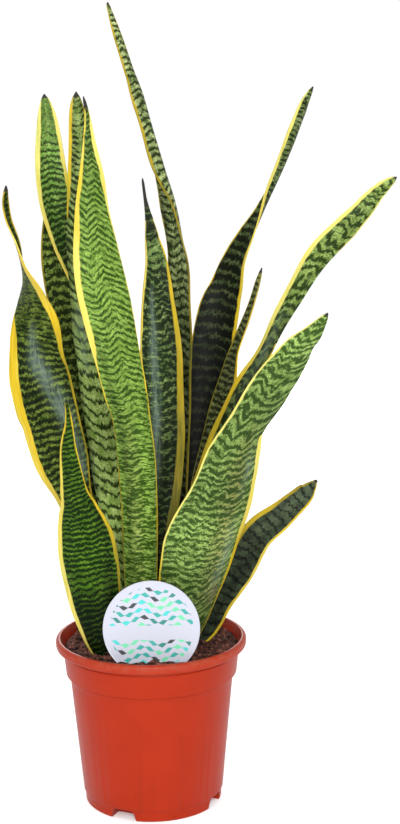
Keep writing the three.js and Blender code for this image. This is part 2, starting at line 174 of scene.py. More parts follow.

# Each leaf is a route of stations from its foot to its tip: [x, y, z, width, turn]. Its other lists run
# up the leaf too, and each of their rows starts with a height.
# channel: 1 where the blade's edges bend to the front, -1 where they bend back. fold: the height where
# it is folded most along its middle, and how deep.
# margins: how wide the yellow margins are on the left and the right. gilt: how pale (0), golden (1) or
# olive (2) they are, the olive also painting margins darker where they lie in shade. edge: how much
# further out each edge stands.
# tones: how light the green is at each height, a painted light and shade: low where other leaves
# shade it, high where it lies open. greens: its light, middle and dark.
# bands: how far apart the dark bands are, how much of that is dark, and how broken they are. sweep: how
# far the bands rise at places across the blade, from -1 to 1. calm: the share of that at a height.
# waver: how far the bands wander. flecks: how strong the dark flecks between them are. grain: how much
# lighter and darker the fine grain makes it all.
# streaks: of each kind, with height, place across, width and strength. Light streaks are painted
# highlights, dark ones painted shade and the grey sheen ones a painted sheen. dry: the height from which
# the tip has dried brown.
LEAVES = {
    "leaf_left_low": {
        "channel": -1,
        "stations": [
            [-33, 2, 72, 15, -35], [-33, 2, 98, 17, -30], [-37, -3, 156, 19, -15], [-46, -5, 194, 22.8, -6],
            [-54.2, -8, 222, 34.4, -2], [-64, -13, 267, 38, 0], [-67, -15, 288, 35.5, -8],
            [-66.5, -17, 309, 32.5, -32], [-69, -18, 327, 26, -56], [-72, -18, 341, 18.5, -77],
            [-75.2, -19, 356, 11, -96], [-79.5, -20, 369, 7.5, -108], [-81, -20, 380, 6, -118],
            [-80, -21, 390, 2, -124],
        ],
        "margins": [
            [98, 2, 0.7], [200, 4, 0.8], [220, 5, 0.8], [250, 5.9, 1], [280, 6.8, 1.3], [295, 5.6, 2.5],
            [304, 3.4, 3.6], [310, 1, 4.2], [316, 0, 4.5], [345, 0, 4], [352, 1.5, 2], [365, 1, 1],
            [385, 0.4, 0.3],
        ],
        "gilt": [
            [98, 0.4, 1.4], [250, 0.9, 1.7], [290, 1, 1.6], [310, 1, 1], [335, 0.8, 0.8], [360, 0.5, 0.5],
            [380, 1.6, 1.6],
        ],
        "edge": [
            [225, -0.5, 0], [235, -0.9, 0], [245, -1.5, 0], [252, -0.2, 0], [264, -0.5, 0], [273, -0.8, 0],
            [283, -1.6, 0], [292, -1.7, 0], [302, -0.5, 0], [311, 1.1, 0], [321, 1.9, 0], [322, 1.8, 0],
            [328, 1.2, 2.2], [334, 0.6, 2.2], [340, 0, 1.2], [348, 0, 0.4], [356, 0, 0],
        ],
        "tones": [
            [98, 0.81], [200, 1.03], [225, 1.1], [260, 0.82], [300, 0.88], [309, 0.86], [325, 0.84],
            [345, 0.8], [365, 0.8], [390, 0.74],
        ],
        "greens": ("#778C38", "#30450E", "#091502"),
        "bands": [
            [98, 4.2, 0.55, 0.35], [290, 4.8, 0.55, 0.3], [302, 3.2, 0.42, 0.65], [340, 3, 0.4, 0.65],
            [385, 3, 0.5, 0.5],
        ],
        "sweep": [[-1, -1], [0, 0.5], [1, -1]],
        "streaks": [
            ["painted_sheen", [
                [300, -0.05, 5, 0.5], [285, 0.05, 9, 0.75], [262, 0.4, 9, 0.7], [246, 0.6, 8, 0.8],
                [214, 0.66, 7, 0.75],
            ]],
            ["dark", [[291, 0.05, 1.4, 0.4], [246, 0.62, 1.6, 0.5], [214, 0.68, 1.6, 0.5]]],
            ["light", [[300, 0.3, 4, 0.2], [285, 0.5, 4, 0.35], [240, 0.85, 4, 0.4]]],
        ],
        "dry": 386,
    },
    "leaf_left_tall": {
        "channel": 1,
        "stations": [
            [-14, 18, 72, 14, 0], [-14, 18, 98, 17, 5], [-18, 22, 150, 22.5, 12], [-20, 27, 201, 26.5, 18],
            [-24, 32, 258, 28, 22], [-31, 38, 311, 28, 24], [-47.5, 43, 349, 23.5, 22],
            [-56.5, 46, 374, 21.5, 18], [-60, 49, 400, 19, 14], [-61, 51, 424, 13.5, 10],
            [-62, 53, 435, 8.5, 8], [-63, 54, 443, 2, 8],
        ],
        "margins": [
            [98, 1, 0.8], [260, 1.3, 0.9], [320, 1.4, 1], [345, 1.7, 1], [372, 2, 1.2], [385, 2.3, 1.8],
            [400, 2.9, 2.2], [415, 2.8, 2.2], [430, 2, 1.8], [438, 0.7, 0.6], [441, 0, 0],
        ],
        "gilt": [
            [98, 1, 1], [345, 0.55, 1], [365, 0.5, 1.1], [385, 0.2, 0.9], [400, 0.1, 0.3], [440, 0, 0.2],
        ],
        "tones": [
            [98, 0.26], [250, 0.3], [300, 0.33], [335, 0.45], [344, 0.51], [365, 0.78], [381, 1.12],
            [407, 1.26], [429, 0.68],
        ],
        "greens": ("#819F4E", "#5D8632", "#1A2D08"),
        "bands": [
            [98, 4, 0.6, 0.4], [330, 4.2, 0.62, 0.4], [370, 4, 0.55, 0.35], [395, 3.8, 0.5, 0.35],
            [410, 4.2, 0.4, 0.3], [418, 5, 0.25, 0.3], [428, 6, 0.05, 0.2],
        ],
        "sweep": [[-1, -3], [0, 0], [1, -3]],
        "streaks": [["light", [[436, 0, 1.4, 0.4], [340, 0, 1.4, 0.4]]]],
        "dry": 440,
    },
    "leaf_left_rear": {
        "channel": 1,
        "stations": [
            [-25, 26, 72, 14, -10], [-25, 26, 98, 16, -5], [-26, 34, 160, 19, 5], [-33, 42, 207, 23, 15],
            [-44, 51, 261, 26.5, 25], [-51, 56, 295, 26, 30], [-57.5, 61, 325, 23, 32],
            [-61.5, 65, 351, 16.5, 32], [-63, 69, 380, 2, 30],
        ],
        "margins": [[98, 0.4, 0.3], [350, 0.6, 0.5], [375, 0.2, 0.2]],
        "gilt": [[98, 2, 2], [370, 1.6, 1.8]],
        "tones": [[98, 0.37], [300, 0.52], [319, 0.58], [380, 0.75]],
        "greens": ("#BCD765", "#779440", "#212F0F"),
        "bands": [[98, 7, 0.6, 0.4], [380, 6, 0.5, 0.4]],
        "sweep": [[-1, -2], [0, 0], [1, -2]],
        "dry": 377,
    },
    "leaf_left_middle": {
        "channel": 1,
        "stations": [
            [-15, 7, 72, 15, 0], [-15, 7, 98, 17, 0], [-15, 10, 154, 22, -5], [-21.4, 13, 202, 25.2, -12],
            [-28, 15, 255, 26.6, -18], [-33, 19, 305, 27.5, -20], [-38, 22, 355, 21.5, -18],
            [-38.5, 24, 405, 16, -12], [-40.5, 26, 432, 9.5, -8], [-41, 27, 444, 2, -5],
        ],
        "margins": [
            [365, 0, 0], [372, 0.8, 0.5], [385, 2, 0.5], [420, 2, 0.6], [436, 1.4, 0.5], [441, 0.3, 0.2],
        ],
        "gilt": [[98, 2, 2], [370, 1.5, 2], [390, 1.2, 2], [430, 1.1, 1.8]],
        "tones": [
            [98, 1.36], [182, 1.44], [200, 1.11], [227, 0.72], [272, 1.04], [290, 1.12], [305, 1.12],
            [330, 0.94], [410, 0.62], [430, 0.6], [442, 0.45],
        ],
        "greens": ("#B2C976", "#75923B", "#182703"),
        "bands": [
            [98, 7.2, 0.34, 0.18], [290, 7.6, 0.34, 0.2], [330, 6, 0.42, 0.4], [380, 4.5, 0.5, 0.45],
            [440, 3.5, 0.5, 0.5],
        ],
        "sweep": [[-1, 8], [-0.6, 2.6], [0, 0], [0.5, 1.6], [1, 6]],
        "waver": 1.2,
        "flecks": 0.35,
        "streaks": [
            ["painted_sheen", [[330, -0.5, 5, 0.5], [300, -0.55, 8, 0.6], [280, -0.6, 6, 0.4]]],
            ["plain", [[430, 0, 4, 0.5], [400, 0, 4, 0.5], [385, 0, 3, 0.4]]],
            ["light", [[430, 0, 3, 0.25], [400, 0, 3, 0.25]]],
            ["dark", [[355, -1, 4, 0.5], [200, -1, 4, 0.5]]],
        ],
        "dry": 440,
    },
    "leaf_front_tall": {
        "channel": -1,
        "stations": [
            [-6, -11, 72, 14, 5], [-6, -11, 98, 17, 5], [-4.7, -16, 160, 20.9, 10], [-5, -20, 212, 23, 15],
            [-8.4, -23.8, 251, 23.4, 17], [-12, -25, 269, 26.4, 18], [-19.3, -26, 306, 30.1, 20],
            [-25, -27, 335, 31, 20], [-29, -27, 370, 22, 18], [-29, -28, 394, 15, 15], [-30, -28, 413, 8, 12],
            [-31, -27, 430, 3, 10], [-33, -27, 441, 1, 10],
        ],
        "margins": [
            [98, 0.7, 0.8], [160, 0.6, 0.8], [266, 0.4, 0.7], [282, 0.4, 0.5], [287, 0.9, 0.4],
            [295, 2.5, 0.4], [304, 3.3, 0.4], [340, 3.4, 0.3], [365, 3.2, 0.7], [380, 2.2, 1.4],
            [390, 2, 2.2], [400, 1.6, 2.5], [415, 1, 2.2], [425, 0.7, 1.1], [434, 0.3, 0.2],
        ],
        "gilt": [
            [98, 1.8, 1.4], [255, 1.8, 1.2], [270, 0.9, 1], [290, 0.55, 0.8], [340, 0.4, 0.5],
            [380, 0.7, 0.3], [430, 0.8, 0.3],
        ],
        "tones": [
            [98, 0.99], [160, 1.08], [178, 1.1], [200, 1.01], [234, 0.87], [280, 0.81], [289, 0.81],
            [320, 0.89], [348, 0.86], [370, 0.82], [392, 0.7], [410, 0.66], [436, 0.44],
        ],
        "greens": ("#9ABC57", "#82A642", "#2E4B11"),
        "bands": [
            [98, 4, 0.5, 0.8], [200, 4.2, 0.5, 0.8], [240, 4, 0.48, 0.72], [280, 4, 0.44, 0.5],
            [340, 4.2, 0.42, 0.42], [390, 3.6, 0.48, 0.5], [430, 3.4, 0.6, 0.5],
        ],
        "sweep": [[-1, 3.5], [-0.35, -2.5], [0.15, 2.5], [1, -7]],
        "calm": [[240, 0.3], [290, 1]],
        "flecks": 0.5,
        "streaks": [
            ["dark", [[300, -0.7, 3, 0.3], [240, -0.62, 5, 0.5], [190, -0.6, 5, 0.5], [110, -0.6, 5, 0.45]]],
            ["olive", [[250, -0.3, 8, 0.25], [190, -0.2, 9, 0.5], [120, 0, 9, 0.5]]],
            ["light", [[290, 0.45, 4, 0.1], [230, 0.45, 4, 0.3], [190, 0.4, 4, 0.1]]],
        ],
        "dry": 432,
    },
    "leaf_front_short": {
        "channel": -1,
        "stations": [
            [-27, -28, 72, 9, -10], [-28, -28, 98, 10, -10], [-31, -28, 114, 20.5, -14],
            [-34.7, -27, 139, 32.9, -18], [-37, -27, 160, 39.5, -20], [-38.5, -29, 180, 35.5, -20],
            [-41, -32, 197, 24, -18], [-44, -34, 210, 16.5, -15], [-46, -40, 235, 10, -10],
            [-45, -43, 252, 4.5, -5], [-46, -46, 267, 1.5, 0],
        ],
        "margins": [
            [98, 1.4, 0.6], [105, 1.8, 0.7], [120, 2.8, 0.8], [140, 3.6, 0.9], [155, 3.8, 1.4],
            [162, 3.8, 1.7], [170, 3.6, 2], [185, 3, 2], [190, 2.8, 1.7], [205, 2.2, 1], [215, 1.8, 0.5],
            [235, 1, 0.7], [255, 0.6, 0.5], [264, 0.2, 0.2],
        ],
        "gilt": [[98, 0.7, 2], [120, 0.4, 2], [160, 0.4, 1.8], [180, 0.4, 1.5], [220, 0.6, 1], [260, 1, 1]],
        "edge": [
            [98, 1.4, 0], [131, 1.6, 0], [146, 1.2, 0], [160, 0.6, 0], [172, 0.5, 0], [184, 1.1, 0],
            [193, 1.9, 0], [203, 0.9, 0], [215, 0, 0],
        ],
        "tones": [
            [98, 0.23], [115, 0.32], [131, 0.48], [141, 0.75], [149, 0.99], [156, 1.05], [168, 1.5],
            [196, 1.1], [228, 1.09], [240, 1.1], [267, 0.89],
        ],
        "greens": ("#52731E", "#33540D", "#061B02"),
        "bands": [
            [138, 3.4, 0.6, 0.3], [143, 4, 0.42, 0.3], [152, 4, 0.42, 0.3], [158, 3.4, 0.58, 0.3],
            [200, 3.2, 0.54, 0.35], [240, 3, 0.5, 0.4],
        ],
        "sweep": [[-1, -3], [0, 0], [0.6, 2.2], [1, 4]],
        "streaks": [
            ["dark", [[200, 0.8, 4, 0.5], [160, 0.7, 6, 0.5], [110, 0.7, 7, 0.6]]],
            ["light", [[163, -0.1, 9, 0.15], [160, -0.1, 9, 0.4], [157, -0.1, 9, 0.15]]],
            ["light", [[151, -0.1, 14, 0.1], [148, -0.1, 14, 0.9], [145, -0.1, 14, 0.1]]],
        ],
        "dry": 264,
    },
    "leaf_centre": {
        "channel": 1,
        "stations": [
            [3, 3, 72, 14, 0], [3, 3, 98, 17, 3], [2.2, 3, 155, 20, 10], [8, 5, 212, 26.4, 18],
            [9.2, 7, 250, 26.9, 20], [8, 9, 291, 26.5, 20], [7, 11, 321, 19.5, 18], [6.5, 13, 340, 14, 15],
            [4.5, 13, 355, 9.5, 12], [1.5, 14, 371, 2.8, 10], [-1, 15, 392, 1.2, 10],
        ],
        "margins": [
            [98, 0.8, 3.5], [180, 0.8, 4.6], [210, 0.8, 5], [260, 0.9, 4], [300, 1, 3], [320, 1, 2],
            [340, 0.9, 1], [358, 0.4, 0.4], [368, 0, 0],
        ],
        "gilt": [
            [98, 2, 2], [180, 1.6, 2], [210, 1.3, 1.9], [260, 0.8, 1.6], [300, 0.6, 1.4], [340, 0.5, 1.1],
        ],
        "edge": [[348, 0, 0], [355, 0, -0.5], [362, 0, 0.4], [368, 0, 1], [374, 0, 0.6], [380, 0, 0]],
        "tones": [
            [98, 0.31], [160, 0.39], [190, 0.49], [216, 0.6], [240, 0.91], [268, 1.21], [300, 0.99],
            [319, 0.93], [335, 1.03], [349, 1.19], [358, 0.61], [366, 0.59], [392, 0.51],
        ],
        "greens": ("#849A5A", "#516933", "#121F0C"),
        "bands": [
            [98, 6, 0.6, 0.5], [250, 6, 0.6, 0.55], [335, 4.6, 0.6, 0.5], [344, 5, 0.35, 0.5],
            [353, 5, 0.35, 0.5], [358, 5, 0.6, 0.5],
        ],
        "sweep": [[-1, 1], [0, -1], [1, 1]],
        "waver": 2.4,
        "streaks": [
            ["painted_sheen", [
                [318, -0.4, 3, 0.5], [300, -0.35, 5, 0.7], [250, -0.35, 6, 0.7], [190, -0.35, 6, 0.4],
            ]],
            ["dark", [[330, 0.75, 6, 0.4], [260, 0.7, 8, 0.45], [200, 0.6, 8, 0.3]]],
        ],
        "dry": 370,
    },
    "leaf_tallest": {
        "channel": 1,
        "fold": {"height": 398, "depth": 0.36},
        "stations": [
            [6, 20, 72, 14, 0], [6, 20, 98, 17, 0], [11, 25, 149, 20, -2], [13, 32, 200, 23, -6],
            [18, 39, 279, 24, -28], [21, 45, 326, 19.5, -44], [20, 48, 351, 18, -54],
            [17.5, 51, 373, 17, -64], [12.5, 53, 392, 15.5, -84], [-1, 59, 436, 11.5, -122],
            [-9.5, 62, 459, 8, -130], [-17, 65, 481, 6, -132], [-23, 68, 499, 2.4, -134],
        ],
        "margins": [
            [98, 0.2, 0.7], [250, 0.2, 0.9], [310, 0.3, 1], [350, 0.3, 0.9], [385, 0.3, 0.7], [400, 0.4, 0.8],
            [440, 0.4, 0.8], [480, 0.5, 0.5], [496, 0.2, 0.2],
        ],
        "gilt": [[98, 1.5, 2], [310, 1.2, 1.8], [370, 1.5, 1.6], [400, 1.4, 1.5], [499, 1.2, 1.2]],
        "edge": [
            [405, 0, 0], [414, 0, 0.4], [427, 0, 1.4], [436, 0, 2], [444, 0, 1.8], [452, 0, 1], [464, 0, 1.2],
            [475, 0, 1], [495, 0, 0],
        ],
        "tones": [
            [98, 0.17], [230, 0.19], [260, 0.27], [288, 0.35], [300, 0.5], [345, 1.12], [386, 1.08],
            [400, 1.08], [444, 1.05], [482, 1.26],
        ],
        "greens": ("#BAC884", "#516532", "#1B270D"),
        "bands": [[98, 6, 0.5, 0.4], [300, 6, 0.45, 0.35], [400, 5, 0.45, 0.35], [499, 4, 0.45, 0.4]],
        "sweep": [[-1, 2], [-0.4, -1.5], [0.2, 1.5], [1, -2]],
        "streaks": [["dark", [[380, -0.9, 4, 0.6], [250, -0.9, 5, 0.6]]]],
        "dry": 497,
    },
    "leaf_right_rear": {
        "channel": 1,
        "fold": {"height": 378, "depth": 0.16},
        "stations": [
            [14, 33, 72, 14, 0], [14, 33, 98, 16, 0], [21, 43, 143, 20, -3], [29, 53, 200, 25, -6],
            [37, 61, 253, 28.5, -8], [45.5, 69, 300, 26, -10], [51, 72, 318, 21.5, -16],
            [56.5, 75, 334, 18, -32], [65.5, 78, 351, 16, -52], [73.5, 80, 365, 15, -74],
            [86.5, 84, 392, 14, -112], [99, 89, 425, 10.5, -130], [103, 91, 436, 7.5, -136],
            [108, 93, 446, 1.5, -140],
        ],
        "margins": [
            [250, 0.4, 1.6], [320, 0.4, 1.7], [340, 0.4, 1.6], [360, 0.4, 1.3], [385, 0.3, 1.2],
            [410, 0.3, 1.6], [430, 0.2, 1.4], [443, 0, 0.2],
        ],
        "gilt": [[98, 1.4, 1.5], [285, 1.2, 1.2], [335, 1, 0.9], [380, 0.4, 0.35], [446, 0.2, 0.2]],
        "edge": [[180, 0, 0], [290, 1, 0], [303, 1, 0], [325, 0.7, 0], [341, 0.5, 0], [350, 0, 0]],
        "tones": [
            [98, 0.11], [250, 0.13], [265, 0.15], [300, 0.28], [326, 0.41], [345, 0.48], [365, 0.72],
            [385, 1.2], [396, 1.24],
        ],
        "greens": ("#7E8E59", "#425522", "#0B1404"),
        "bands": [[98, 7, 0.62, 0.25], [340, 7, 0.6, 0.28], [385, 3.6, 0.45, 0.6], [440, 3, 0.4, 0.6]],
        "sweep": [[-1, -2], [0, 0], [1, -2]],
        "waver": 0.9,
        "dry": 444,
    },
    "leaf_right_thin": {
        "channel": 1,
        "stations": [
            [25, 23, 72, 13, -5], [25, 23, 98, 15, -5], [27, 31, 147, 17, -8], [35, 38, 192, 18, -14],
            [43, 43, 223, 20, -25], [52.7, 49, 267, 17.5, -57], [57, 51, 283, 13, -68], [67, 56, 310, 9, -68],
            [71, 58, 324, 5, -60], [73, 59, 332, 1, -60],
        ],
        "margins": [
            [98, 0.3, 0.5], [220, 0.4, 0.5], [250, 0.6, 0.8], [262, 0.9, 2.6], [275, 1.1, 2.6], [285, 1, 0.8],
            [325, 0.3, 0.2],
        ],
        "gilt": [[98, 2, 1.4], [220, 2, 1], [260, 2, 0.9], [290, 1.6, 1.2], [332, 1.5, 1.5]],
        "tones": [[98, 0.31], [220, 0.58], [267, 0.82], [302, 1.31], [332, 1.41]],
        "greens": ("#7F8650", "#59603A", "#1C220C"),
        "bands": [[98, 5, 0.55, 0.4], [332, 4, 0.5, 0.4]],
        "sweep": [[-1, 0], [1, 0]],
        "flecks": 0.4,
        "dry": 328,
    },
    "leaf_right_long": {
        "channel": 1,
        "stations": [
            [20, 7, 72, 14, 0], [20, 7, 98, 16, 0], [20, 11, 145, 19, -5], [30, 15, 180, 18, -18],
            [44.2, 21, 224, 17.8, -46], [58.5, 26, 257, 19.5, -60], [73.5, 32, 280, 18, -62],
            [88.5, 35, 309, 16.5, -50], [107, 40, 339, 17.5, -28], [125, 43, 358, 16, -14],
            [134, 45, 367, 13.5, -8], [143.5, 47, 377, 10.5, -5], [158, 51, 389, 2.6, 0],
        ],
        "margins": [
            [98, 2, 0.3], [180, 3.2, 0.3], [257, 3.6, 0.2], [300, 3, 0], [340, 2.8, 0], [365, 2.2, 0.2],
            [382, 1.2, 0.3], [388, 0.3, 0.1],
        ],
        "gilt": [
            [98, 1.7, 1.7], [220, 1.4, 1.2], [258, 1.15, 1.1], [275, 0.6, 1], [300, 0.25, 0.5],
            [389, 0.15, 0.1],
        ],
        "edge": [
            [370, 0, 0], [377, 0.4, -0.4], [378, 0.6, -0.5], [382, 1.5, -0.5], [386, 1.2, -0.4],
            [389, 0.2, -0.4],
        ],
        "tones": [
            [98, 0.22], [220, 0.29], [262, 0.46], [280, 0.6], [292, 0.68], [312, 0.98], [331, 1.12],
            [367, 0.84], [379, 1.04], [389, 1.08],
        ],
        "greens": ("#9CB665", "#6F8538", "#233611"),
        "bands": [
            [98, 7, 0.55, 0.4], [300, 8.4, 0.5, 0.22], [350, 8.4, 0.48, 0.22], [375, 6, 0.4, 0.3],
            [389, 4, 0.5, 0.4],
        ],
        "sweep": [[-1, -2], [0, 0], [1, 3]],
        "waver": 2.4,
        "streaks": [["painted_sheen", [[300, 0, 8, 0.3], [280, 0, 8, 0.5], [262, 0, 6, 0.2]]]],
        "dry": 387.5,
    },
    "leaf_right_broad": {
        "channel": -1,
        "stations": [
            [16, -13, 72, 15, 5], [16, -13, 98, 20, 8], [23.6, -18, 127, 35.2, 14],
            [32.5, -26, 164, 48.4, 20], [36.6, -30, 180, 49.2, 22], [48, -36.5, 212, 40.7, 23],
            [53.1, -41, 232, 33.8, 23], [63.3, -46, 254, 27.5, 22], [79.2, -52, 280, 27, 20],
            [89, -56, 296, 19.5, 18], [97.5, -59, 305.5, 12.5, 15], [106, -62, 318, 2, 10],
        ],
        "margins": [
            [98, 0.8, 1], [140, 0.9, 1.6], [165, 0.9, 2.6], [185, 0.9, 3.2], [215, 0.9, 3.2], [240, 0.9, 3],
            [244, 0.9, 2.2], [246, 0.9, 0], [285, 0.9, 0], [312, 0.4, 0],
        ],
        "gilt": [
            [98, 1.7, 1.8], [140, 1.2, 1.6], [165, 0.5, 1], [190, 0.2, 0.6], [240, 0.1, 0.3], [318, 0.2, 0.2],
        ],
        "edge": [
            [150, 0, 0], [190, 0, 0.6], [204, 0, 1.1], [213, 0, 0.5], [223, 0, 1], [230, 0, 1.2],
            [236, 0, 0.6], [240.5, 0, -0.3], [245.5, 0, -1.7], [251, 0, -0.5], [256.5, 0, 1.1], [262, 0, 1.5],
            [267, 0, 1.2], [275, 0, -0.4], [285, 0, 0], [293, 0, 1.3], [299, 0, 0.9], [308, 0, 0],
        ],
        "tones": [
            [98, 0.51], [115, 0.65], [130, 0.74], [152, 0.82], [160, 0.97], [182, 1.33], [200, 0.85],
            [234, 0.95], [264, 0.84], [285, 1.05], [300, 1.32], [312, 1.2],
        ],
        "greens": ("#97B362", "#789247", "#2C4417"),
        "bands": [
            [165, 4.6, 0.5, 0.5], [215, 5.2, 0.52, 0.45], [235, 6.6, 0.5, 0.3], [262, 7.2, 0.48, 0.3],
            [290, 6, 0.5, 0.4], [315, 4, 0.6, 0.4],
        ],
        "sweep": [[-1, -1], [-0.7, 2], [-0.4, -1.5], [-0.1, 1], [0.15, 0], [0.5, 3.5], [1, 11]],
        "waver": 2.8,
        "streaks": [
            ["painted_sheen", [[185, 0.6, 6, 0.3], [164, 0.68, 7, 0.6], [150, 0.6, 6, 0.4]]],
            ["painted_sheen", [[236, 0.6, 5, 0.2], [224, 0.6, 6, 0.5], [212, 0.55, 5, 0.2]]],
            ["brown", [[148, 0.7, 3, 0.1], [139, 0.72, 4, 0.8], [130, 0.7, 3, 0.1]]],
            ["olive", [[250, 0.4, 8, 0.3], [222, 0.3, 14, 0.75], [180, 0.42, 16, 0.8], [140, 0.5, 14, 0.8]]],
            ["light", [[165, -0.5, 8, 0.1], [148, -0.5, 9, 0.3], [132, -0.4, 8, 0.1]]],
            ["light", [[225, 0.6, 9, 0.1], [200, 0.62, 10, 0.3], [150, 0.6, 10, 0.3]]],
        ],
        "dry": 316,
    },
    "leaf_right_low": {
        "channel": 1,
        "stations": [
            [27, -0.5, 72, 10, -10], [27, -0.5, 98, 10.5, -10], [36.6, -1, 114.6, 15.5, -15],
            [44.3, -1.5, 132.2, 19, -20], [55.2, -7, 152.4, 22, -24], [67.1, -13.5, 174.7, 20, -25],
            [80, -18, 187, 17.5, -24], [95, -21, 201, 12, -20], [99.5, -23, 206, 7, -15],
            [103, -24, 211, 1.5, -10],
        ],
        "margins": [
            [98, 0.8, 1], [120, 1, 1], [135, 1.8, 1.2], [147, 3, 1.2], [165, 3.2, 1.2], [185, 2.6, 1.2],
            [195, 1.8, 1], [202, 1.2, 0.8], [208, 0.4, 0.4],
        ],
        "gilt": [[98, 1.6, 1], [150, 1.6, 0.8], [175, 1.4, 0.8], [190, 1.5, 0.9], [208, 1.6, 1.2]],
        "edge": [[190, 0, 0], [199, 0.6, 0], [200, 0.7, 0], [206, 1.4, -0.8], [210, 1, -0.6]],
        "tones": [[98, 0.55], [135, 0.54], [150, 0.52], [165, 0.56], [175, 0.64], [195, 0.84], [209, 0.88]],
        "greens": ("#58664A", "#363F31", "#1A1F19"),
        "bands": [[98, 7, 0.3, 0.25], [205, 6, 0.3, 0.25]],
        "sweep": [[-1, -1], [1, 2]],
        "flecks": 0,
        "grain": 0.16,
        "streaks": [
            ["dark", [[185, 0.5, 4, 0.2], [150, 0.3, 8, 0.3], [110, 0.2, 9, 0.4]]],
            ["light", [[200, -0.15, 3, 0.35], [180, -0.15, 3, 0.35]]],
        ],
        "dry": 209.5,
    },
}


# Colours and nodes.


def linear(hex_colour):
    """An sRGB hex colour as linear red, green and blue, opaque."""
    channels = [int(hex_colour[i : i + 2], 16) / 255 for i in (1, 3, 5)]
    return [c / 12.92 if c <= 0.04045 else ((c + 0.055) / 1.055) ** 2.4 for c in channels] + [1]


def add(tree, kind, **given):
    """Adds one shader node. Small letters give its properties, others its inputs, by name or _number.

    An input is linked where it is given a socket, or a node, which gives its first output in use.
    """
    node = tree.nodes.new("ShaderNode" + kind)
    for key, value in given.items():
        if key[0].islower():
            setattr(node, key, value)
            continue
        socket = node.inputs[int(key[1:])] if key[0] == "_" else node.inputs[key.replace("_", " ")]
        if isinstance(value, bpy.types.Node):
            value = next(output for output in value.outputs if output.enabled)
        if isinstance(value, bpy.types.NodeSocket):
            tree.links.new(value, socket)
        else:
            socket.default_value = value
    return node


def new_material(name):
    """An empty material, with its node tree."""
    material = bpy.data.materials.new(name)
    material.use_nodes = True
    material.node_tree.nodes.clear()
    return material, material.node_tree


def grains(tree, place, size_mm, detail, offset):
    """Noise from 0 to 1 in places given in mm, with grains of that size across and along."""
    across, along = size_mm
    scale, shift = (1 / across, 1 / along, 0), (offset, offset * 1.7, offset / 3)
    moved = add(tree, "VectorMath", operation="MULTIPLY_ADD", _0=place, _1=scale, _2=shift)
    return add(tree, "TexNoise", Vector=moved, Scale=1.0, Detail=detail, Roughness=0.6)


def set_stops(ramp, stops):
    """Gives a colour ramp its stops, each a position and a hex colour."""
    elements = ramp.color_ramp.elements
    while len(elements) < len(stops):
        elements.new(0.5)
    for element, (position, colour) in zip(elements, stops):
        element.position = position
        element.color = linear(colour)


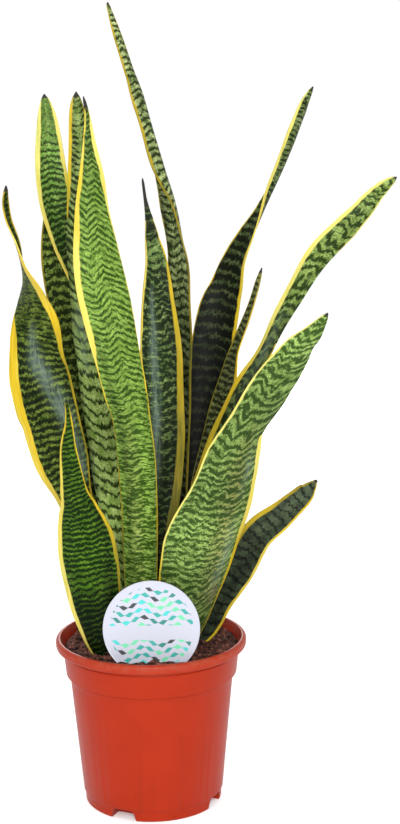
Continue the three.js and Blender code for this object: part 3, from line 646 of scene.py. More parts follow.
def leaf_skin(name, plan, seed):
    """Living snake plant leaf: a hard waxy skin, dark cross bands on green and yellow margins.

    The wax gives a soft satin sheen. Bands and margins follow the blade, so the material reads what
    the leaf carries: "blade" (mm across, mm along less the bands' sweep, how dried), "shade" (mm
    inside the margin, tone with its painted light and shade, gilt), "bands" (how many so far, half the
    dark share, how broken) and "patch" (painted grey sheen, brown, olive).
    """
    material, tree = new_material(name + "_skin")
    light, middle, dark = (linear(colour) for colour in plan["greens"])
    carried = {key: add(tree, "Attribute", attribute_name=key).outputs["Vector"] for key in CARRIED}
    parts = [add(tree, "SeparateXYZ", Vector=vector).outputs for vector in carried.values()]
    (_, _, dried), (inside, tone, gilt), (counted, half_dark, broken), (painted_sheen, brown, olive) = parts
    blade = carried["blade"]

    # The bands wave slowly and have ragged teeth, and where they are broken they become blots.
    waves = grains(tree, blade, (9, 18), 1.0, seed)
    teeth = grains(tree, blade, (1.5, 7), 2.0, seed + 5)
    blots = grains(tree, blade, (4.2, 1.3), 1.5, seed + 9)
    place = add(tree, "Math", operation="MULTIPLY_ADD", _0=waves, _1=plan.get("waver", 1.5), _2=counted)
    place = add(tree, "Math", operation="ADD", _0=teeth, _1=place)
    stripe = add(tree, "Math", operation="PINGPONG", _0=place, _1=0.5)
    blot = add(tree, "MapRange", Value=blots, From_Min=0.3, From_Max=0.7, To_Max=0.5)
    pattern = add(tree, "Mix", _0=broken, _2=stripe, _3=blot)
    reach = add(tree, "Math", operation="SUBTRACT", _0=half_dark, _1=pattern)
    band = add(tree, "MapRange", interpolation_type="SMOOTHSTEP", Value=reach, From_Min=-0.09, From_Max=0.07,
               To_Max=0.95)

    # The green between the bands is mottled, with short dark flecks across the blade.
    mottle = grains(tree, blade, (4, 7), 3.0, seed + 13)
    mottle = add(tree, "MapRange", Value=mottle, From_Min=0.35, From_Max=0.65)
    fleck = grains(tree, blade, (1.9, 0.9), 2.0, seed + 17)
    fleck = add(tree, "MapRange", Value=fleck, From_Min=0.48, From_Max=0.66, To_Max=plan.get("flecks", 0.65))
    green = light
    for strength, over in (mottle, middle), (olive, linear(OLIVE_GREEN)), (fleck, dark), (band, dark):
        green = add(tree, "Mix", data_type="RGBA", _0=strength, _6=green, _7=over)

    # The tone paints in the shade that other leaves cast on rear leaves from the front. On faces turned to
    # the back that painted shade is lifted, so they are greener.
    facing = add(tree, "NewGeometry").outputs["Normal"]
    _, rearward, _ = add(tree, "SeparateXYZ", Vector=facing).outputs
    open_side = add(tree, "MapRange", Value=rearward, From_Min=0.1, From_Max=0.6, To_Max=REAR_TONE)
    tone = add(tree, "Math", operation="MAXIMUM", _0=tone, _1=open_side)
    # Fine grain, about a millimetre, makes it all a little lighter and darker.
    spread = plan.get("grain", 0.4)
    fine = grains(tree, blade, (1.2, 0.9), 2.0, seed + 37)
    fine = add(tree, "MapRange", Value=fine, From_Min=0.3, From_Max=0.7, To_Min=1 - spread, To_Max=1 + spread)
    tone = add(tree, "Math", operation="MULTIPLY", _0=tone, _1=fine)
    green = add(tree, "VectorMath", operation="SCALE", Vector=green, Scale=tone)
    # A painted grey sheen, the light the wax reflects, lies in fine streaks along the blade.
    streaked = grains(tree, blade, (1.1, 14), 3.0, seed + 41)
    streaked = add(tree, "MapRange", Value=streaked, From_Min=0.35, From_Max=0.6, To_Min=0.25)
    painted_sheen = add(tree, "Math", operation="MULTIPLY", _0=painted_sheen, _1=streaked)
    for strength, over in (painted_sheen, PAINTED_SHEEN_GREY), (brown, BROWN_PATCH):
        green = add(tree, "Mix", data_type="RGBA", _0=strength, _6=green, _7=linear(over))

    # Yellow margins, pale to golden to olive, with fine green lines in them and a wandering inner side.
    # The olive is partly the margin's own and partly painted shade on margins that lie in shade.
    shift = grains(tree, blade, (2.5, 24), 2.0, seed + 45)
    shift = add(tree, "MapRange", Value=shift, To_Min=-0.5, To_Max=0.5)
    gilt = add(tree, "Math", operation="ADD", _0=gilt, _1=shift)
    to_shaded_olive = add(tree, "Math", operation="SUBTRACT", use_clamp=True, _0=gilt, _1=1.0)
    lines = grains(tree, blade, (0.5, 45), 1.0, seed + 21)
    lines = add(tree, "MapRange", Value=lines, From_Min=0.52, From_Max=0.75, To_Max=0.4)
    yellow = linear(PALE_YELLOW)
    for strength, over in (gilt, linear(GOLDEN_YELLOW)), (to_shaded_olive, linear(SHADED_OLIVE_YELLOW)), (lines, middle):
        yellow = add(tree, "Mix", data_type="RGBA", _0=strength, _6=yellow, _7=over)
    wander = grains(tree, blade, (5, 9), 2.0, seed + 25)
    wander = add(tree, "Math", operation="MULTIPLY_ADD", _0=wander, _1=1.6, _2=inside)
    margin = add(tree, "MapRange", interpolation_type="SMOOTHSTEP", Value=wander, From_Min=0.4, From_Max=1.2)
    colour = add(tree, "Mix", data_type="RGBA", _0=margin, _6=green, _7=yellow)
    colour = add(tree, "Mix", data_type="RGBA", _0=dried, _6=colour, _7=linear(DRIED_TIP))

    # The wax is a little uneven, and fine ribs run along the blade.
    wax = add(tree, "MapRange", Value=grains(tree, blade, (4, 9), 2.0, seed + 29), To_Min=0.35, To_Max=0.6)
    ribs = grains(tree, blade, (0.9, 60), 1.0, seed + 33)
    ribs = add(tree, "Bump", Strength=0.35, Distance=0.25 * MM, Height=ribs)
    skin = add(tree, "BsdfPrincipled", Base_Color=colour, Roughness=wax, Normal=ribs, IOR=1.45,
               Specular_IOR_Level=0.06)
    add(tree, "OutputMaterial", Surface=skin)
    return material


def pot_plastic():
    """Injection moulded polypropylene, pigmented terracotta: satin, faintly cloudy, with dry scuffs."""
    material, tree = new_material("pot_plastic")
    place = add(tree, "TexCoord").outputs["Object"]
    cloud = add(tree, "TexNoise", Vector=place, Scale=1 / (24 * MM), Detail=3.0)
    cloud = add(tree, "MapRange", Value=cloud, From_Min=0.3, From_Max=0.7)
    # Pale scuffs run down the wall, 1 mm wide and 12 mm long.
    down = add(tree, "Mapping", Vector=place, Scale=(1 / MM, 1 / MM, 1 / (12 * MM)))
    scuff = add(tree, "TexNoise", Vector=down, Scale=1.0, Detail=4.0, Roughness=0.7)
    scuffed = add(tree, "MapRange", Value=scuff, From_Min=0.66, From_Max=0.8, To_Max=0.07)
    # A painted highlight makes the lip paler, in patches about 5 mm across.
    height = add(tree, "SeparateXYZ", Vector=place).outputs["Z"]
    on_lip = add(tree, "MapRange", Value=height, From_Min=LIP_BOTTOM * MM, From_Max=(POT_HEIGHT - 2) * MM)
    lip_highlight_patches = add(tree, "TexNoise", Vector=place, Scale=1 / (5 * MM), Detail=4.0, Roughness=0.65)
    lip_highlight_patches = add(tree, "MapRange", Value=lip_highlight_patches, From_Min=0.4, From_Max=0.65, To_Min=0.15, To_Max=0.7)
    painted_lip_highlight = add(tree, "Math", operation="MULTIPLY", _0=on_lip, _1=lip_highlight_patches)
    colour = linear("#872108")
    for strength, over in (cloud, "#8C230B"), (scuffed, "#A35C45"), (painted_lip_highlight, "#87402F"):
        colour = add(tree, "Mix", data_type="RGBA", _0=strength, _6=colour, _7=linear(over))
    rough = add(tree, "MapRange", Value=scuff, To_Min=0.34, To_Max=0.48)
    # The mould's polish leaves a very low orange peel, 3 mm across.
    peel = add(tree, "TexNoise", Vector=place, Scale=1 / (3 * MM), Detail=2.0)
    peel = add(tree, "Bump", Strength=0.15, Distance=0.1 * MM, Height=peel)
    plastic = add(tree, "BsdfPrincipled", Base_Color=colour, Roughness=rough, Normal=peel, IOR=1.49,
                  Specular_IOR_Level=0.1)
    add(tree, "OutputMaterial", Surface=plastic)
    return material


def potting_soil():
    """Moist peat and bark potting mix: matt dark red-brown, in crumbs 3 mm across, with paler dry bits."""
    material, tree = new_material("potting_soil")
    place = add(tree, "TexCoord").outputs["Object"]
    crumb = add(tree, "TexNoise", Vector=place, Scale=1 / (3 * MM), Detail=5.0, Roughness=0.7)
    brown = add(tree, "ValToRGB", Fac=crumb)
    set_stops(brown, ((0.36, "#140807"), (0.5, "#3B2019"), (0.66, "#804F3F")))
    rough = add(tree, "Bump", Strength=0.7, Distance=0.8 * MM, Height=crumb)
    soil = add(tree, "BsdfPrincipled", Base_Color=brown, Roughness=0.95, Normal=rough, Specular_IOR_Level=0.2)
    add(tree, "OutputMaterial", Surface=soil)
    return material


def label_card():
    """Printed white polypropylene card, satin. The print is plain: slim shapes in leaf green and grey."""
    material, tree = new_material("label_card")
    card = add(tree, "UVMap", uv_map="print").outputs[0]
    x, y, _ = add(tree, "SeparateXYZ", Vector=card).outputs
    radius = add(tree, "VectorMath", operation="LENGTH", Vector=card).outputs["Value"]
    # Rows and shapes are counted from far outside the print, and each row is moved along by a part of one.
    wave = add(tree, "Math", operation="MULTIPLY", _0=x, _1=0.3)
    wave = add(tree, "Math", operation="SINE", _0=wave)
    row = add(tree, "Math", operation="MULTIPLY_ADD", _0=y, _1=1 / PRINT_ROW, _2=20.3)
    row = add(tree, "Math", operation="MULTIPLY_ADD", _0=wave, _1=PRINT_WAVE, _2=row)
    row_number = add(tree, "Math", operation="FLOOR", _0=row)
    shape = add(tree, "Math", operation="MULTIPLY_ADD", _0=x, _1=1 / PRINT_SHAPE, _2=30.0)
    shape = add(tree, "Math", operation="MULTIPLY_ADD", _0=row_number, _1=ROW_SHIFT, _2=shape)
    shape_number = add(tree, "Math", operation="FLOOR", _0=shape)
    off_row = add(tree, "Math", operation="PINGPONG", _0=row, _1=0.5)
    off_shape = add(tree, "Math", operation="PINGPONG", _0=shape, _1=0.5)
    middle = add(tree, "Math", operation="MULTIPLY_ADD", _0=off_row, _1=SHAPE_SLIMNESS, _2=off_shape)
    inked = add(tree, "Math", operation="GREATER_THAN", _0=middle, _1=SHAPE_REACH)
    within = add(tree, "Math", operation="LESS_THAN", _0=radius, _1=PRINT_RADIUS)
    bare = add(tree, "Math", operation="COMPARE", _0=y, _1=BARE_MIDDLE, _2=BARE_HALF)
    inked = add(tree, "Math", operation="MULTIPLY", _0=inked, _1=within)
    inked = add(tree, "Math", operation="SUBTRACT", use_clamp=True, _0=inked, _1=bare)
    # Each shape draws its own ink.
    cell = add(tree, "CombineXYZ", X=shape_number, Y=row_number)
    drawn = add(tree, "TexWhiteNoise", noise_dimensions="2D", Vector=cell).outputs["Value"]
    ink = add(tree, "ValToRGB", Fac=drawn)
    ink.color_ramp.interpolation = "CONSTANT"
    set_stops(ink, INKS)
    cloud = add(tree, "TexNoise", Vector=card, Scale=0.5, Detail=3.0)
    white = add(tree, "Mix", data_type="RGBA", _0=cloud, _6=linear("#999BA6"), _7=linear("#9E9FAA"))
    colour = add(tree, "Mix", data_type="RGBA", _0=inked, _6=white, _7=ink)
    printed = add(tree, "BsdfPrincipled", Base_Color=colour, Roughness=0.4, Specular_IOR_Level=0.3)
    add(tree, "OutputMaterial", Surface=printed)
    return material


def floor_paper():
    """Matt white studio paper, laid flat: almost even, with a faint fibre cloud."""
    material, tree = new_material("floor_paper")
    place = add(tree, "TexCoord").outputs["Object"]
    cloud = add(tree, "TexNoise", Vector=place, Scale=6.0, Detail=2.0)
    white = add(tree, "Mix", data_type="RGBA", _0=cloud, _6=linear("#FCFCFC"), _7=linear("#FFFFFF"))
    paper = add(tree, "BsdfPrincipled", Base_Color=white, Roughness=0.9)
    add(tree, "OutputMaterial", Surface=paper)
    return material


# Making pieces.


def name_new(name):
    """Names the piece just made."""
    piece = bpy.context.object
    piece.name = piece.data.name = name
    return piece


def begin(name, primitive, **shape):
    """Adds a primitive with nothing else selected, and names it."""
    bpy.ops.object.select_all(action="DESELECT")
    primitive(**shape)
    return name_new(name)


def only(piece):
    """Selects one piece and makes it active."""
    bpy.ops.object.select_all(action="DESELECT")
    piece.select_set(True)
    bpy.context.view_layer.objects.active = piece


def edit(piece):
    """Goes into edit mode with all of one piece selected."""
    only(piece)
    bpy.ops.object.mode_set(mode="EDIT")
    bpy.ops.mesh.select_all(action="SELECT")


def draw_out(move, scale, about):
    """Extrudes the selected face by a move and scales it about a place, both in mm."""
    move, about = (tuple(length * MM for length in lengths) for lengths in (move, about))
    bpy.ops.mesh.extrude_region_move(TRANSFORM_OT_translate={"value": move})
    bpy.ops.transform.resize(value=scale, center_override=about)


def close_up():
    """Turns all faces outwards and leaves edit mode."""
    bpy.ops.mesh.select_all(action="SELECT")
    bpy.ops.mesh.normals_make_consistent(inside=False)
    bpy.ops.object.mode_set(mode="OBJECT")


def work(piece, modifier, **settings):
    """Gives a piece one modifier with its settings and applies it."""
    tool = piece.modifiers.new("tool", modifier)
    for key, value in settings.items():
        setattr(tool, key, value)
    only(piece)
    bpy.ops.object.modifier_apply(modifier=tool.name)


def cut(piece, tool, operation="DIFFERENCE"):
    """Cuts a tool out of a piece, or joins it on, and takes the tool away."""
    work(piece, "BOOLEAN", operation=operation, solver="EXACT", object=tool)
    bpy.data.objects.remove(tool)


def settle(piece, smooth, slot, material, *stands_for):
    """Shades a piece smooth up to an angle, puts its place in its mesh and lets it ride on the plant."""
    only(piece)
    bpy.ops.object.shade_smooth_by_angle(angle=math.radians(smooth))
    bpy.ops.object.transform_apply(location=True, rotation=True, scale=True)
    piece.data.materials.clear()
    piece.data.materials.append(material)
    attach(piece, "root")
    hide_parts(*stands_for)


def along_leaf(stations, places):
    """All five numbers of a leaf's stations at places along it, on one smooth curve through them."""
    table = np.array(stations, float)
    last = len(table) - 1
    ends = np.vstack([2 * table[0] - table[1], table, 2 * table[-1] - table[-2]])
    span = np.minimum(np.floor(places).astype(int), last - 1)
    t = (places - span)[:, None]
    before, start, stop, after = (ends[span + k] for k in range(4))
    slope = stop - before
    bend = 2 * before - 5 * start + 4 * stop - after
    swing = 3 * start - before - 3 * stop + after
    return start + t / 2 * (slope + t * (bend + t * swing))


def smoothstep(x, low, high):
    """Rises from 0 at low to 1 at high, evenly at both ends."""
    t = np.clip((x - low) / (high - low), 0, 1)
    return t * t * (3 - 2 * t)


def up_leaf(rows, heights, column=1):
    """One column of a list that runs up the leaf, at some heights."""
    table = np.array(rows, float)
    return np.interp(heights, table[:, 0], table[:, column])


def by_side(rows, heights, left):
    """The first column of such a list on the blade's left, and the second on its right."""
    return np.where(left, up_leaf(rows, heights, 1), up_leaf(rows, heights, 2))


def streaks_of(plan, wanted, heights, u, width):
    """How strong one kind of streak is at each place. Streaks run up the leaf and fade at their ends."""
    strength = np.zeros(len(heights))
    for kind, rows in plan.get("streaks", ()):
        if kind != wanted:
            continue
        table = np.array(sorted(rows), float)
        # Its strength, the last column, is nothing a little way below its first row and above its last.
        fade = np.array([STREAK_FADE, 0, 0, 0])
        first, last = table[0] * [1, 1, 1, 0] - fade, table[-1] * [1, 1, 1, 0] + fade
        table = np.vstack([first, table, last])
        where, wide, strong = (up_leaf(table, heights, column) for column in (1, 2, 3))
        off = (u - where) * width / wide
        strength = np.maximum(strength, strong * np.exp(-(off**2)))
    return strength


def grow_leaf(name, plan, seed):
    """One blade: a grid bent onto the leaf's route, then given its thickness."""
    stations = plan["stations"]
    last = len(stations) - 1
    leaf = begin(
        name + "_blade",
        bpy.ops.mesh.primitive_grid_add,
        x_subdivisions=FACES_ACROSS,
        y_subdivisions=last * FACES_PER_STATION,
        size=2,
    )
    flat = np.empty(len(leaf.data.vertices) * 3)
    leaf.data.vertices.foreach_get("co", flat)
    flat = flat.reshape(-1, 3)
    u, share = flat[:, 0], (flat[:, 1] + 1) / 2
    left = u < 0
    places = share * last

    # The blade's own directions: along it, across it, and out of its front.
    here = along_leaf(stations, places)
    above, below = (along_leaf(stations, np.clip(places + k * LOOK_ASIDE, 0, last)) for k in (1, -1))
    along = (above - below)[:, :3]
    along /= np.linalg.norm(along, axis=1)[:, None]
    turn = np.radians(here[:, 4])
    across = np.stack([np.cos(turn), np.sin(turn), 0 * turn], axis=1)
    across -= (across * along).sum(axis=1)[:, None] * along
    across /= np.linalg.norm(across, axis=1)[:, None]
    facing = np.cross(across, along)

    # How far each place is along the blade, in mm, and how far below the tip.
    fine = np.linspace(0, last, LENGTH_STEPS)
    points = along_leaf(stations, fine)
    lengths = np.concatenate([[0], np.cumsum(np.linalg.norm(np.diff(points[:, :3], axis=0), axis=1))])
    run = np.interp(places, fine, lengths)
    to_tip = lengths[-1] - run

    heights = here[:, 2]
    width = np.maximum(here[:, 3], TIP_WIDTH) * np.sqrt(np.clip((to_tip + TIP_BLUNT) / TIP_ROUND, 0, 1))
    broad = np.minimum(width / BROAD, 1)
    opened = smoothstep(share, CHANNEL_OPENS_FROM, CHANNEL_OPEN_BY)
    channel = BASE_CHANNEL + (BLADE_CHANNEL - BASE_CHANNEL) * opened
    if "fold" in plan:
        channel += plan["fold"]["depth"] * np.exp(-(((heights - plan["fold"]["height"]) / FOLD_REACH) ** 2))
    curl = plan["channel"] * width * channel * u**2
    phase = seed + np.where(u > 0, RIPPLE_SHIFT, 0)
    ripple = RIPPLE * np.abs(u) ** 3 * np.sin(run * 2 * math.pi / RIPPLE_LENGTH + phase) * broad
    edge = by_side(plan.get("edge", [[0, 0, 0]]), heights, left)
    place = here[:, :3] + across * (u * (width / 2 + edge))[:, None] + facing * (curl + ripple)[:, None]
    leaf.data.vertices.foreach_set("co", (place * MM).ravel())

    # What the skin reads: its own lengths, the margins, the tone, the bands, the patches and the dried tip.
    margin = by_side(plan["margins"], heights, left)
    from_edge = (1 - np.abs(u)) * width / 2
    inside = np.where(margin > THINNEST_MARGIN, margin - from_edge, NO_MARGIN)
    gilt = by_side(plan["gilt"], heights, left)
    dry = plan["dry"]
    dried = smoothstep(heights, dry, dry + DRY_FADE * (stations[-1][2] - dry))
    kinds = ("light", "dark", "plain", "painted_sheen", "brown", "olive")
    painted_highlight, painted_shade, plain, *patch = (streaks_of(plan, kind, heights, u, width) for kind in kinds)
    # The tone is painted light and shade: each height's tone, lifted by painted highlights and lowered by
    # painted shade in streaks.
    tone = up_leaf(plan["tones"], heights) * SKIN_TONE * (1 + painted_highlight - painted_shade)
    # Bands are counted along the middle line, and each place has the count of where its band starts.
    between = (points[1:, 2] + points[:-1, 2]) / 2
    counts = np.concatenate([[0], np.cumsum(np.diff(lengths) / up_leaf(plan["bands"], between))])
    swept = run - up_leaf(plan["sweep"], u) * up_leaf(plan.get("calm", [[0, 1]]), heights) * broad
    counted = np.interp(swept, lengths, counts)
    # Where the blade is plain, its bands are thinner.
    half_dark = up_leaf(plan["bands"], heights, 2) / 2 - PLAIN_THINS * plain
    broken = up_leaf(plan["bands"], heights, 3)
    carried = ((u * width / 2, swept, dried), (inside, tone, gilt), (counted, half_dark, broken), patch)
    for key, columns in zip(CARRIED, carried):
        attribute = leaf.data.attributes.new(key, "FLOAT_VECTOR", "POINT")
        attribute.data.foreach_set("vector", np.stack(columns, axis=1).astype(np.float32).ravel())

    middle = BASE_THICKNESS + (TIP_THICKNESS - BASE_THICKNESS) * np.sqrt(share)
    thickness = middle + (EDGE_THICKNESS - middle) * u**2
    weights = (thickness / BASE_THICKNESS - THINNEST_SHARE) / (1 - THINNEST_SHARE)
    group = leaf.vertex_groups.new(name="thickness")
    for index, weight in enumerate(weights):
        group.add([index], float(weight), "REPLACE")
    work(
        leaf,
        "SOLIDIFY",
        thickness=BASE_THICKNESS * MM,
        offset=0,
        vertex_group="thickness",
        thickness_vertex_group=THINNEST_SHARE,
    )
    settle(leaf, 50, "leaf", leaf_skin(name, plan, seed), name)


def turn_up(name, profile, sides):
    """A closed turned body: a disc extruded ring by ring through [radius, z] points, by hand."""
    (radius, z), *rest = profile
    circle = bpy.ops.mesh.primitive_circle_add
    body = begin(name, circle, vertices=sides, radius=radius * MM, fill_type="NGON", location=(0, 0, z * MM))
    bpy.ops.object.transform_apply(location=True)
    edit(body)
    for next_radius, next_z in rest:
        scale = next_radius / radius
        draw_out((0, 0, next_z - z), (scale, scale, 1), (0, 0, next_z))
        radius, z = next_radius, next_z
    close_up()
    return body


def arc(centre_radius, centre_z, bend, start, stop, steps):
    """Points of a round edge, from one angle to another in degrees, as a turned profile has them."""
    angles = [math.radians(start + (stop - start) * k / steps) for k in range(steps + 1)]
    return [(centre_radius + bend * math.cos(a), centre_z + bend * math.sin(a)) for a in angles]


def arch_tool(turn, margin):
    """The space under one arch of the foot, larger all round by a margin."""
    half, narrowed = ARCH_WIDTH / 2 + margin, (ARCH_TOP_WIDTH + 2 * margin) / (ARCH_WIDTH + 2 * margin)
    depth = ARCH_DEPTH + margin + ARCH_PAST
    middle = FOOT_RADIUS - ARCH_DEPTH - margin + depth / 2
    tool = begin("arch", bpy.ops.mesh.primitive_cube_add, size=1)
    for corner in tool.data.vertices:
        x, y, z = corner.co
        wide, height = (half * narrowed, FOOT_HEIGHT + margin) if z > 0 else (half, -ARCH_BELOW)
        corner.co = (2 * x * wide * MM, (y * depth - middle) * MM, height * MM)
    rounded = tool.data.attributes.new("bevel_weight_edge", "FLOAT", "EDGE")
    for edge in tool.data.edges:
        one, other = (tool.data.vertices[corner].co for corner in edge.vertices)
        if min(one.z, other.z) > 0 and abs(one.x - other.x) < 0.001 * MM:
            rounded.data[edge.index].value = 1
    work(tool, "BEVEL", limit_method="WEIGHT", width=ARCH_ROUND * MM, segments=4)
    tool.rotation_euler.z = math.radians(turn)
    bpy.ops.object.transform_apply(rotation=True)
    return tool


def make_pot():
    """The pot: turned from its foot up and down again inside, with housings, arches and drain holes cut."""
    inner_lip = RIM_RADIUS - LIP_WALL
    body_step, collar_step, lip_step = INNER_STEPS
    profile = [
        *arc(FOOT_RADIUS - FOOT_ROUND, FOOT_ROUND, FOOT_ROUND, -90, 0, 4),
        (FOOT_RADIUS + 0.2, FOOT_HEIGHT - 0.8),
        (FOOT_RADIUS + 0.5, FOOT_HEIGHT - 0.2),
        (BODY_BOTTOM_RADIUS - 0.2, FOOT_HEIGHT + 0.2),
        (BODY_BOTTOM_RADIUS, FOOT_HEIGHT + 0.8),
        (BODY_TOP_RADIUS, BODY_TOP - 1.5),
        (BODY_TOP_RADIUS + 0.05, BODY_TOP),
        (BODY_TOP_RADIUS + 0.2, BODY_TOP + 1.4),
        (BODY_TOP_RADIUS + 0.45, BODY_TOP + 2.6),
        (BODY_TOP_RADIUS + 0.6, COLLAR_BOTTOM - 1.6),
        (BODY_TOP_RADIUS + 0.6, COLLAR_BOTTOM - 1),
        (COLLAR_BOTTOM_RADIUS - 0.6, COLLAR_BOTTOM - 0.3),
        (COLLAR_BOTTOM_RADIUS - 0.1, COLLAR_BOTTOM),
        (COLLAR_BOTTOM_RADIUS, COLLAR_BOTTOM + 0.4),
        (COLLAR_TOP_RADIUS, LIP_BOTTOM - 2.4),
        (COLLAR_TOP_RADIUS - 0.4, LIP_BOTTOM - 1.9),
        (COLLAR_TOP_RADIUS - 0.6, LIP_BOTTOM - 1.3),
        (COLLAR_TOP_RADIUS - 0.6, LIP_BOTTOM - 0.2),
        *arc(RIM_RADIUS - LIP_ROUND, LIP_BOTTOM + LIP_ROUND, LIP_ROUND, -75, 0, 6),
        *arc(RIM_RADIUS - LIP_ROUND, POT_HEIGHT - LIP_ROUND, LIP_ROUND, 0, 82, 7),
        *arc(inner_lip + INNER_LIP_ROUND, POT_HEIGHT - INNER_LIP_ROUND, INNER_LIP_ROUND, 90, 180, 3),
        (COLLAR_TOP_RADIUS - WALL, lip_step),
        (COLLAR_BOTTOM_RADIUS - WALL, collar_step),
        (BODY_TOP_RADIUS - WALL, body_step),
        (FOOT_RADIUS - WALL, FLOOR + 0.8),
        (FOOT_RADIUS - WALL - 0.8, FLOOR),
    ]
    pot = turn_up("nursery_pot", profile, POT_SIDES)
    for turn in ARCH_TURNS:
        cut(pot, arch_tool(turn, WALL), "UNION")
    # What the arches' housings leave outside the wall and under the floor is taken off.
    shell = [
        (FOOT_RADIUS - FOOT_ROUND, 0),
        (FOOT_RADIUS, FOOT_ROUND),
        (FOOT_RADIUS + 0.5, FOOT_HEIGHT - 0.2),
        (BODY_BOTTOM_RADIUS, FOOT_HEIGHT + 0.8),
        (RIM_RADIUS + 5, POT_HEIGHT + 5),
    ]
    cut(pot, turn_up("shell", shell, POT_SIDES), "INTERSECT")
    reach = (FOOT_RADIUS - ARCH_DEPTH / 2) * MM
    for turn in ARCH_TURNS:
        cut(pot, arch_tool(turn, 0))
        azimuth = math.radians(turn - 90)
        place = (reach * math.cos(azimuth), reach * math.sin(azimuth), FOOT_HEIGHT * MM)
        size = {"vertices": 32, "radius": DRAIN_RADIUS * MM, "depth": DRAIN_DEPTH * MM}
        cut(pot, begin("drain", bpy.ops.mesh.primitive_cylinder_add, location=place, **size))
    settle(pot, 35, "pot_plastic", pot_plastic(), "pot")


def inner_radius(z):
    """The radius of the pot's inner wall at a height."""
    inner_lip = RIM_RADIUS - LIP_WALL
    heights = [FLOOR, *INNER_STEPS, POT_HEIGHT]
    outer = [FOOT_RADIUS, BODY_TOP_RADIUS, COLLAR_BOTTOM_RADIUS, COLLAR_TOP_RADIUS, inner_lip + WALL]
    return float(np.interp(z, heights, outer)) - WALL


def ground(x, y):
    """The height of the soil at a place: a low mound, lumpy, level at the wall, heaped at the back left."""
    share = min(math.hypot(x, y) / (inner_radius(SOIL_TOP) - SOIL_GAP), 1)
    lumps = sum(noise.noise(Vector((x / wide, y / wide, layer))) * high for wide, high, layer in LUMPS)
    heap = HEAP * math.exp(-(((x - HEAP_X) / HEAP_WIDE) ** 2) - ((y - HEAP_Y) / HEAP_DEEP) ** 2)
    return SOIL_TOP + (1 - share**6) * MOUND + (1 - share**16) * (lumps + heap)


def fill_soil(material):
    """The soil: a turned filling with a lumpy top."""
    profile = [(inner_radius(z) - SOIL_GAP, z) for z in (SOIL_BOTTOM, 40, *INNER_STEPS, SOIL_TOP)]
    edge = profile[-1][0]
    profile += [(edge * (SOIL_RINGS - k) / SOIL_RINGS, SOIL_TOP) for k in range(1, SOIL_RINGS)]
    soil = turn_up("soil_fill", profile, SOIL_SIDES)
    for vertex in soil.data.vertices:
        if vertex.co.z > (SOIL_TOP - 0.01) * MM:
            vertex.co.z = ground(vertex.co.x / MM, vertex.co.y / MM) * MM
    settle(soil, 180, "soil", material, "soil")


def strew_crumbs(material):
    """Loose crumbs and bark fibres lying on the soil, apart from where the label stands."""
    draw = random.Random(CRUMB_SEED)
    shapes = [shape_crumb(f"crumb_{k}", k) for k in range(CRUMB_SHAPES)]
    fibres = [shape_fibre(f"fibre_{k}", k) for k in range(FIBRE_SHAPES)]
    edge = inner_radius(SOIL_TOP) - SOIL_GAP - WALL_CLEAR
    pieces = []
    for _ in range(CRUMBS):
        around, out = draw.uniform(0, 2 * math.pi), math.sqrt(draw.random()) * edge
        x, y = out * math.cos(around), out * math.sin(around)
        if abs(x - LABEL_CENTRE[0]) < LABEL_RADIUS and y < LABEL_CENTRE[1] + LABEL_CLEAR:
            continue
        fibre = draw.random() < FIBRE_SHARE
        size = draw.uniform(*(FIBRE_SIZES if fibre else CRUMB_SIZES))
        pattern = draw.choice(fibres if fibre else shapes)
        piece = pattern.copy()
        piece.data = pattern.data.copy()
        bpy.context.collection.objects.link(piece)
        # Each is sunk in a little, tipped and somewhat flat.
        piece.location = (x * MM, y * MM, (ground(x, y) + size * 0.3) * MM)
        piece.rotation_euler = (draw.gauss(0, 0.2), draw.gauss(0, 0.25), draw.uniform(0, 2 * math.pi))
        piece.scale = (size, size, size * 0.8)
        pieces.append(piece)
    for pattern in shapes + fibres:
        bpy.data.objects.remove(pattern)
    only(pieces[0])
    for piece in pieces:
        piece.select_set(True)
    bpy.ops.object.join()
    settle(name_new("soil_crumbs"), 40, "soil", material, "soil")


def shape_crumb(name, seed):
    """One crumb of peat, 2 mm across: a small ball knocked out of round."""
    crumb = begin(name, bpy.ops.mesh.primitive_ico_sphere_add, subdivisions=1, radius=MM)
    edit(crumb)
    bpy.ops.transform.vertex_random(offset=0.35 * MM, uniform=0.6, seed=seed)
    bpy.ops.transform.resize(value=(1 + 0.25 * seed, 1, 0.8), center_override=(0, 0, 0))
    bpy.ops.object.mode_set(mode="OBJECT")
    return crumb


def shape_fibre(name, seed):
    """One bark fibre, 7 mm long: a thin six-sided rod drawn out, bent and tapered."""
    circle, upright = bpy.ops.mesh.primitive_circle_add, (0, math.pi / 2, 0)
    fibre = begin(name, circle, vertices=6, radius=FIBRE_RADIUS * MM, fill_type="NGON", rotation=upright)
    bpy.ops.object.transform_apply(rotation=True)
    edit(fibre)
    step = 1.5 + 0.2 * seed
    x, y = 0, 0
    for sideways, scale in ((0.3, 1.7), (0.5 - 0.4 * seed, 1), (-0.2, 0.8), (0.4 * seed, 0.5)):
        x, y = x + step, y + sideways
        draw_out((step, sideways, 0), (1, scale, scale), (x, y, 0))
    close_up()
    return fibre


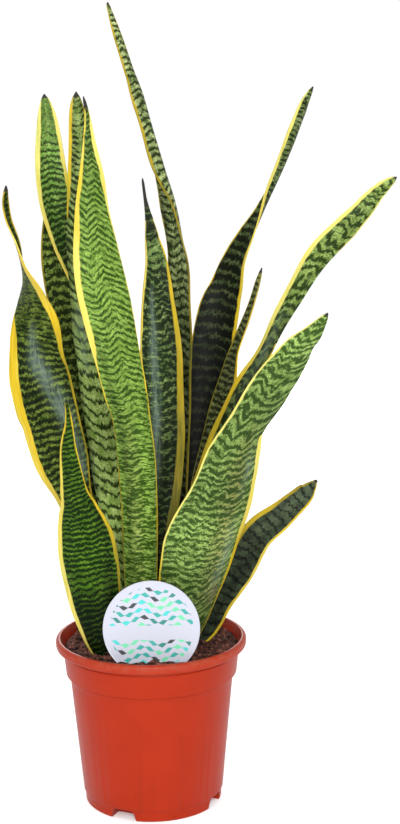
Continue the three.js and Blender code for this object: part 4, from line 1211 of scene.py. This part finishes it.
def make_label():
    """The label: a thin round card with a softened edge, on a pointed stake."""
    cylinder = bpy.ops.mesh.primitive_cylinder_add
    label = begin("plant_label", cylinder, vertices=160, radius=LABEL_RADIUS * MM, depth=LABEL_THICKNESS * MM)
    edit(label)
    bpy.ops.transform.rotate(value=math.radians(90), orient_axis="X", center_override=(0, 0, 0))
    bpy.ops.object.mode_set(mode="OBJECT")
    stake = begin("stake", bpy.ops.mesh.primitive_cube_add, size=1)
    top, shoulder = -LABEL_RADIUS * 0.5, STAKE_POINT - STAKE_LENGTH
    for corner in stake.data.vertices:
        x, y, z = corner.co
        corner.co = (x * STAKE_WIDTH * MM, y * LABEL_THICKNESS * MM, (top if z > 0 else shoulder) * MM)
    bpy.ops.object.mode_set(mode="EDIT")
    bpy.ops.mesh.select_all(action="DESELECT")
    bpy.ops.object.mode_set(mode="OBJECT")
    for face in stake.data.polygons:
        face.select = face.normal.z < -0.5
    bpy.ops.object.mode_set(mode="EDIT")
    bpy.ops.mesh.select_mode(type="FACE")
    draw_out((0, 0, -STAKE_POINT), (POINT_SHARE, 1, 1), (0, 0, -STAKE_LENGTH))
    close_up()
    cut(label, stake, "UNION")
    sharp = math.radians(50)
    work(label, "BEVEL", width=LABEL_EDGE * MM, segments=2, limit_method="ANGLE", angle_limit=sharp)
    print_map = label.data.uv_layers.new(name="print")
    for loop in label.data.loops:
        x, _, z = label.data.vertices[loop.vertex_index].co
        print_map.data[loop.index].uv = (x / MM, z / MM)
    label.rotation_euler.x = math.radians(-LABEL_LEAN)
    label.location = Vector(LABEL_CENTRE) * MM
    settle(label, 30, "label", label_card(), "label")


# The studio, in metres and degrees.

# Each soft box: where it stands, what it aims at, its width and height, and its watts.
SOFT_BOXES = {
    "front_box": ((0.1, -1.9, 0.9), (0, 0, 0.2), (0.7, 0.7), 42),
    "left_box": ((-1.0, -1.3, 1.0), (0, 0, 0.25), (0.4, 1.4), 3.5),
    "right_box": ((1.1, -1.2, 0.9), (0, 0, 0.2), (0.4, 1.4), 2.5),
    "back_box": ((-0.2, 1.9, 0.9), (0, 0, 0.2), (0.7, 0.7), 13),
    "top_box": ((0, -0.2, 2.0), (0, 0, 0.2), (1.4, 1.4), 1),
}
SURROUND = 1.03
CAMERA_PLACE = (0.0324, -1.0, 0.4385)
CAMERA_DOWN = 10.70
CAMERA_ROLL = -0.63
CAMERA_LENS = 72.26


def set_studio():
    """A white floor, an even white surround, a large soft box in front and weaker ones all round."""
    floor = begin("studio_floor", bpy.ops.mesh.primitive_circle_add, vertices=96, radius=40, fill_type="NGON")
    floor.data.materials.append(floor_paper())
    world = bpy.data.worlds.new("studio")
    world.use_nodes = True
    background = world.node_tree.nodes["Background"]
    background.inputs["Color"].default_value = linear("#FFFFFF")
    background.inputs["Strength"].default_value = SURROUND
    bpy.context.scene.world = world
    for name, (place, aim, size, watts) in SOFT_BOXES.items():
        light = bpy.data.lights.new(name, "AREA")
        light.shape = "RECTANGLE"
        light.size, light.size_y = size
        light.energy = watts
        lamp = bpy.data.objects.new(name, light)
        bpy.context.collection.objects.link(lamp)
        lamp.location = place
        lamp.rotation_euler = (Vector(aim) - Vector(place)).to_track_quat("-Z", "Y").to_euler()
    bpy.context.scene.view_settings.view_transform = "Standard"


def set_camera():
    """The photograph's view, a metre in front, as fitted to the pot's rim, collar and foot."""
    camera = bpy.data.cameras.new("camera")
    camera.sensor_width = 36
    camera.lens = CAMERA_LENS
    viewer = bpy.data.objects.new("camera", camera)
    bpy.context.collection.objects.link(viewer)
    down, roll = math.radians(CAMERA_DOWN), math.radians(CAMERA_ROLL)
    forward = Vector((0, math.cos(down), -math.sin(down)))
    level_up = Vector((1, 0, 0)).cross(forward)
    right = math.cos(roll) * Vector((1, 0, 0)) + math.sin(roll) * level_up
    up = forward.cross(right) * -1
    turn = Matrix((right, up, -forward)).transposed().to_4x4()
    viewer.matrix_world = Matrix.Translation(CAMERA_PLACE) @ turn
    bpy.context.scene.camera = viewer


set_camera()
set_studio()
make_pot()
soil_mix = potting_soil()
fill_soil(soil_mix)
strew_crumbs(soil_mix)
make_label()
for number, (name, plan) in enumerate(LEAVES.items()):
    grow_leaf(name, plan, FIRST_SEED + NEXT_SEED * number)
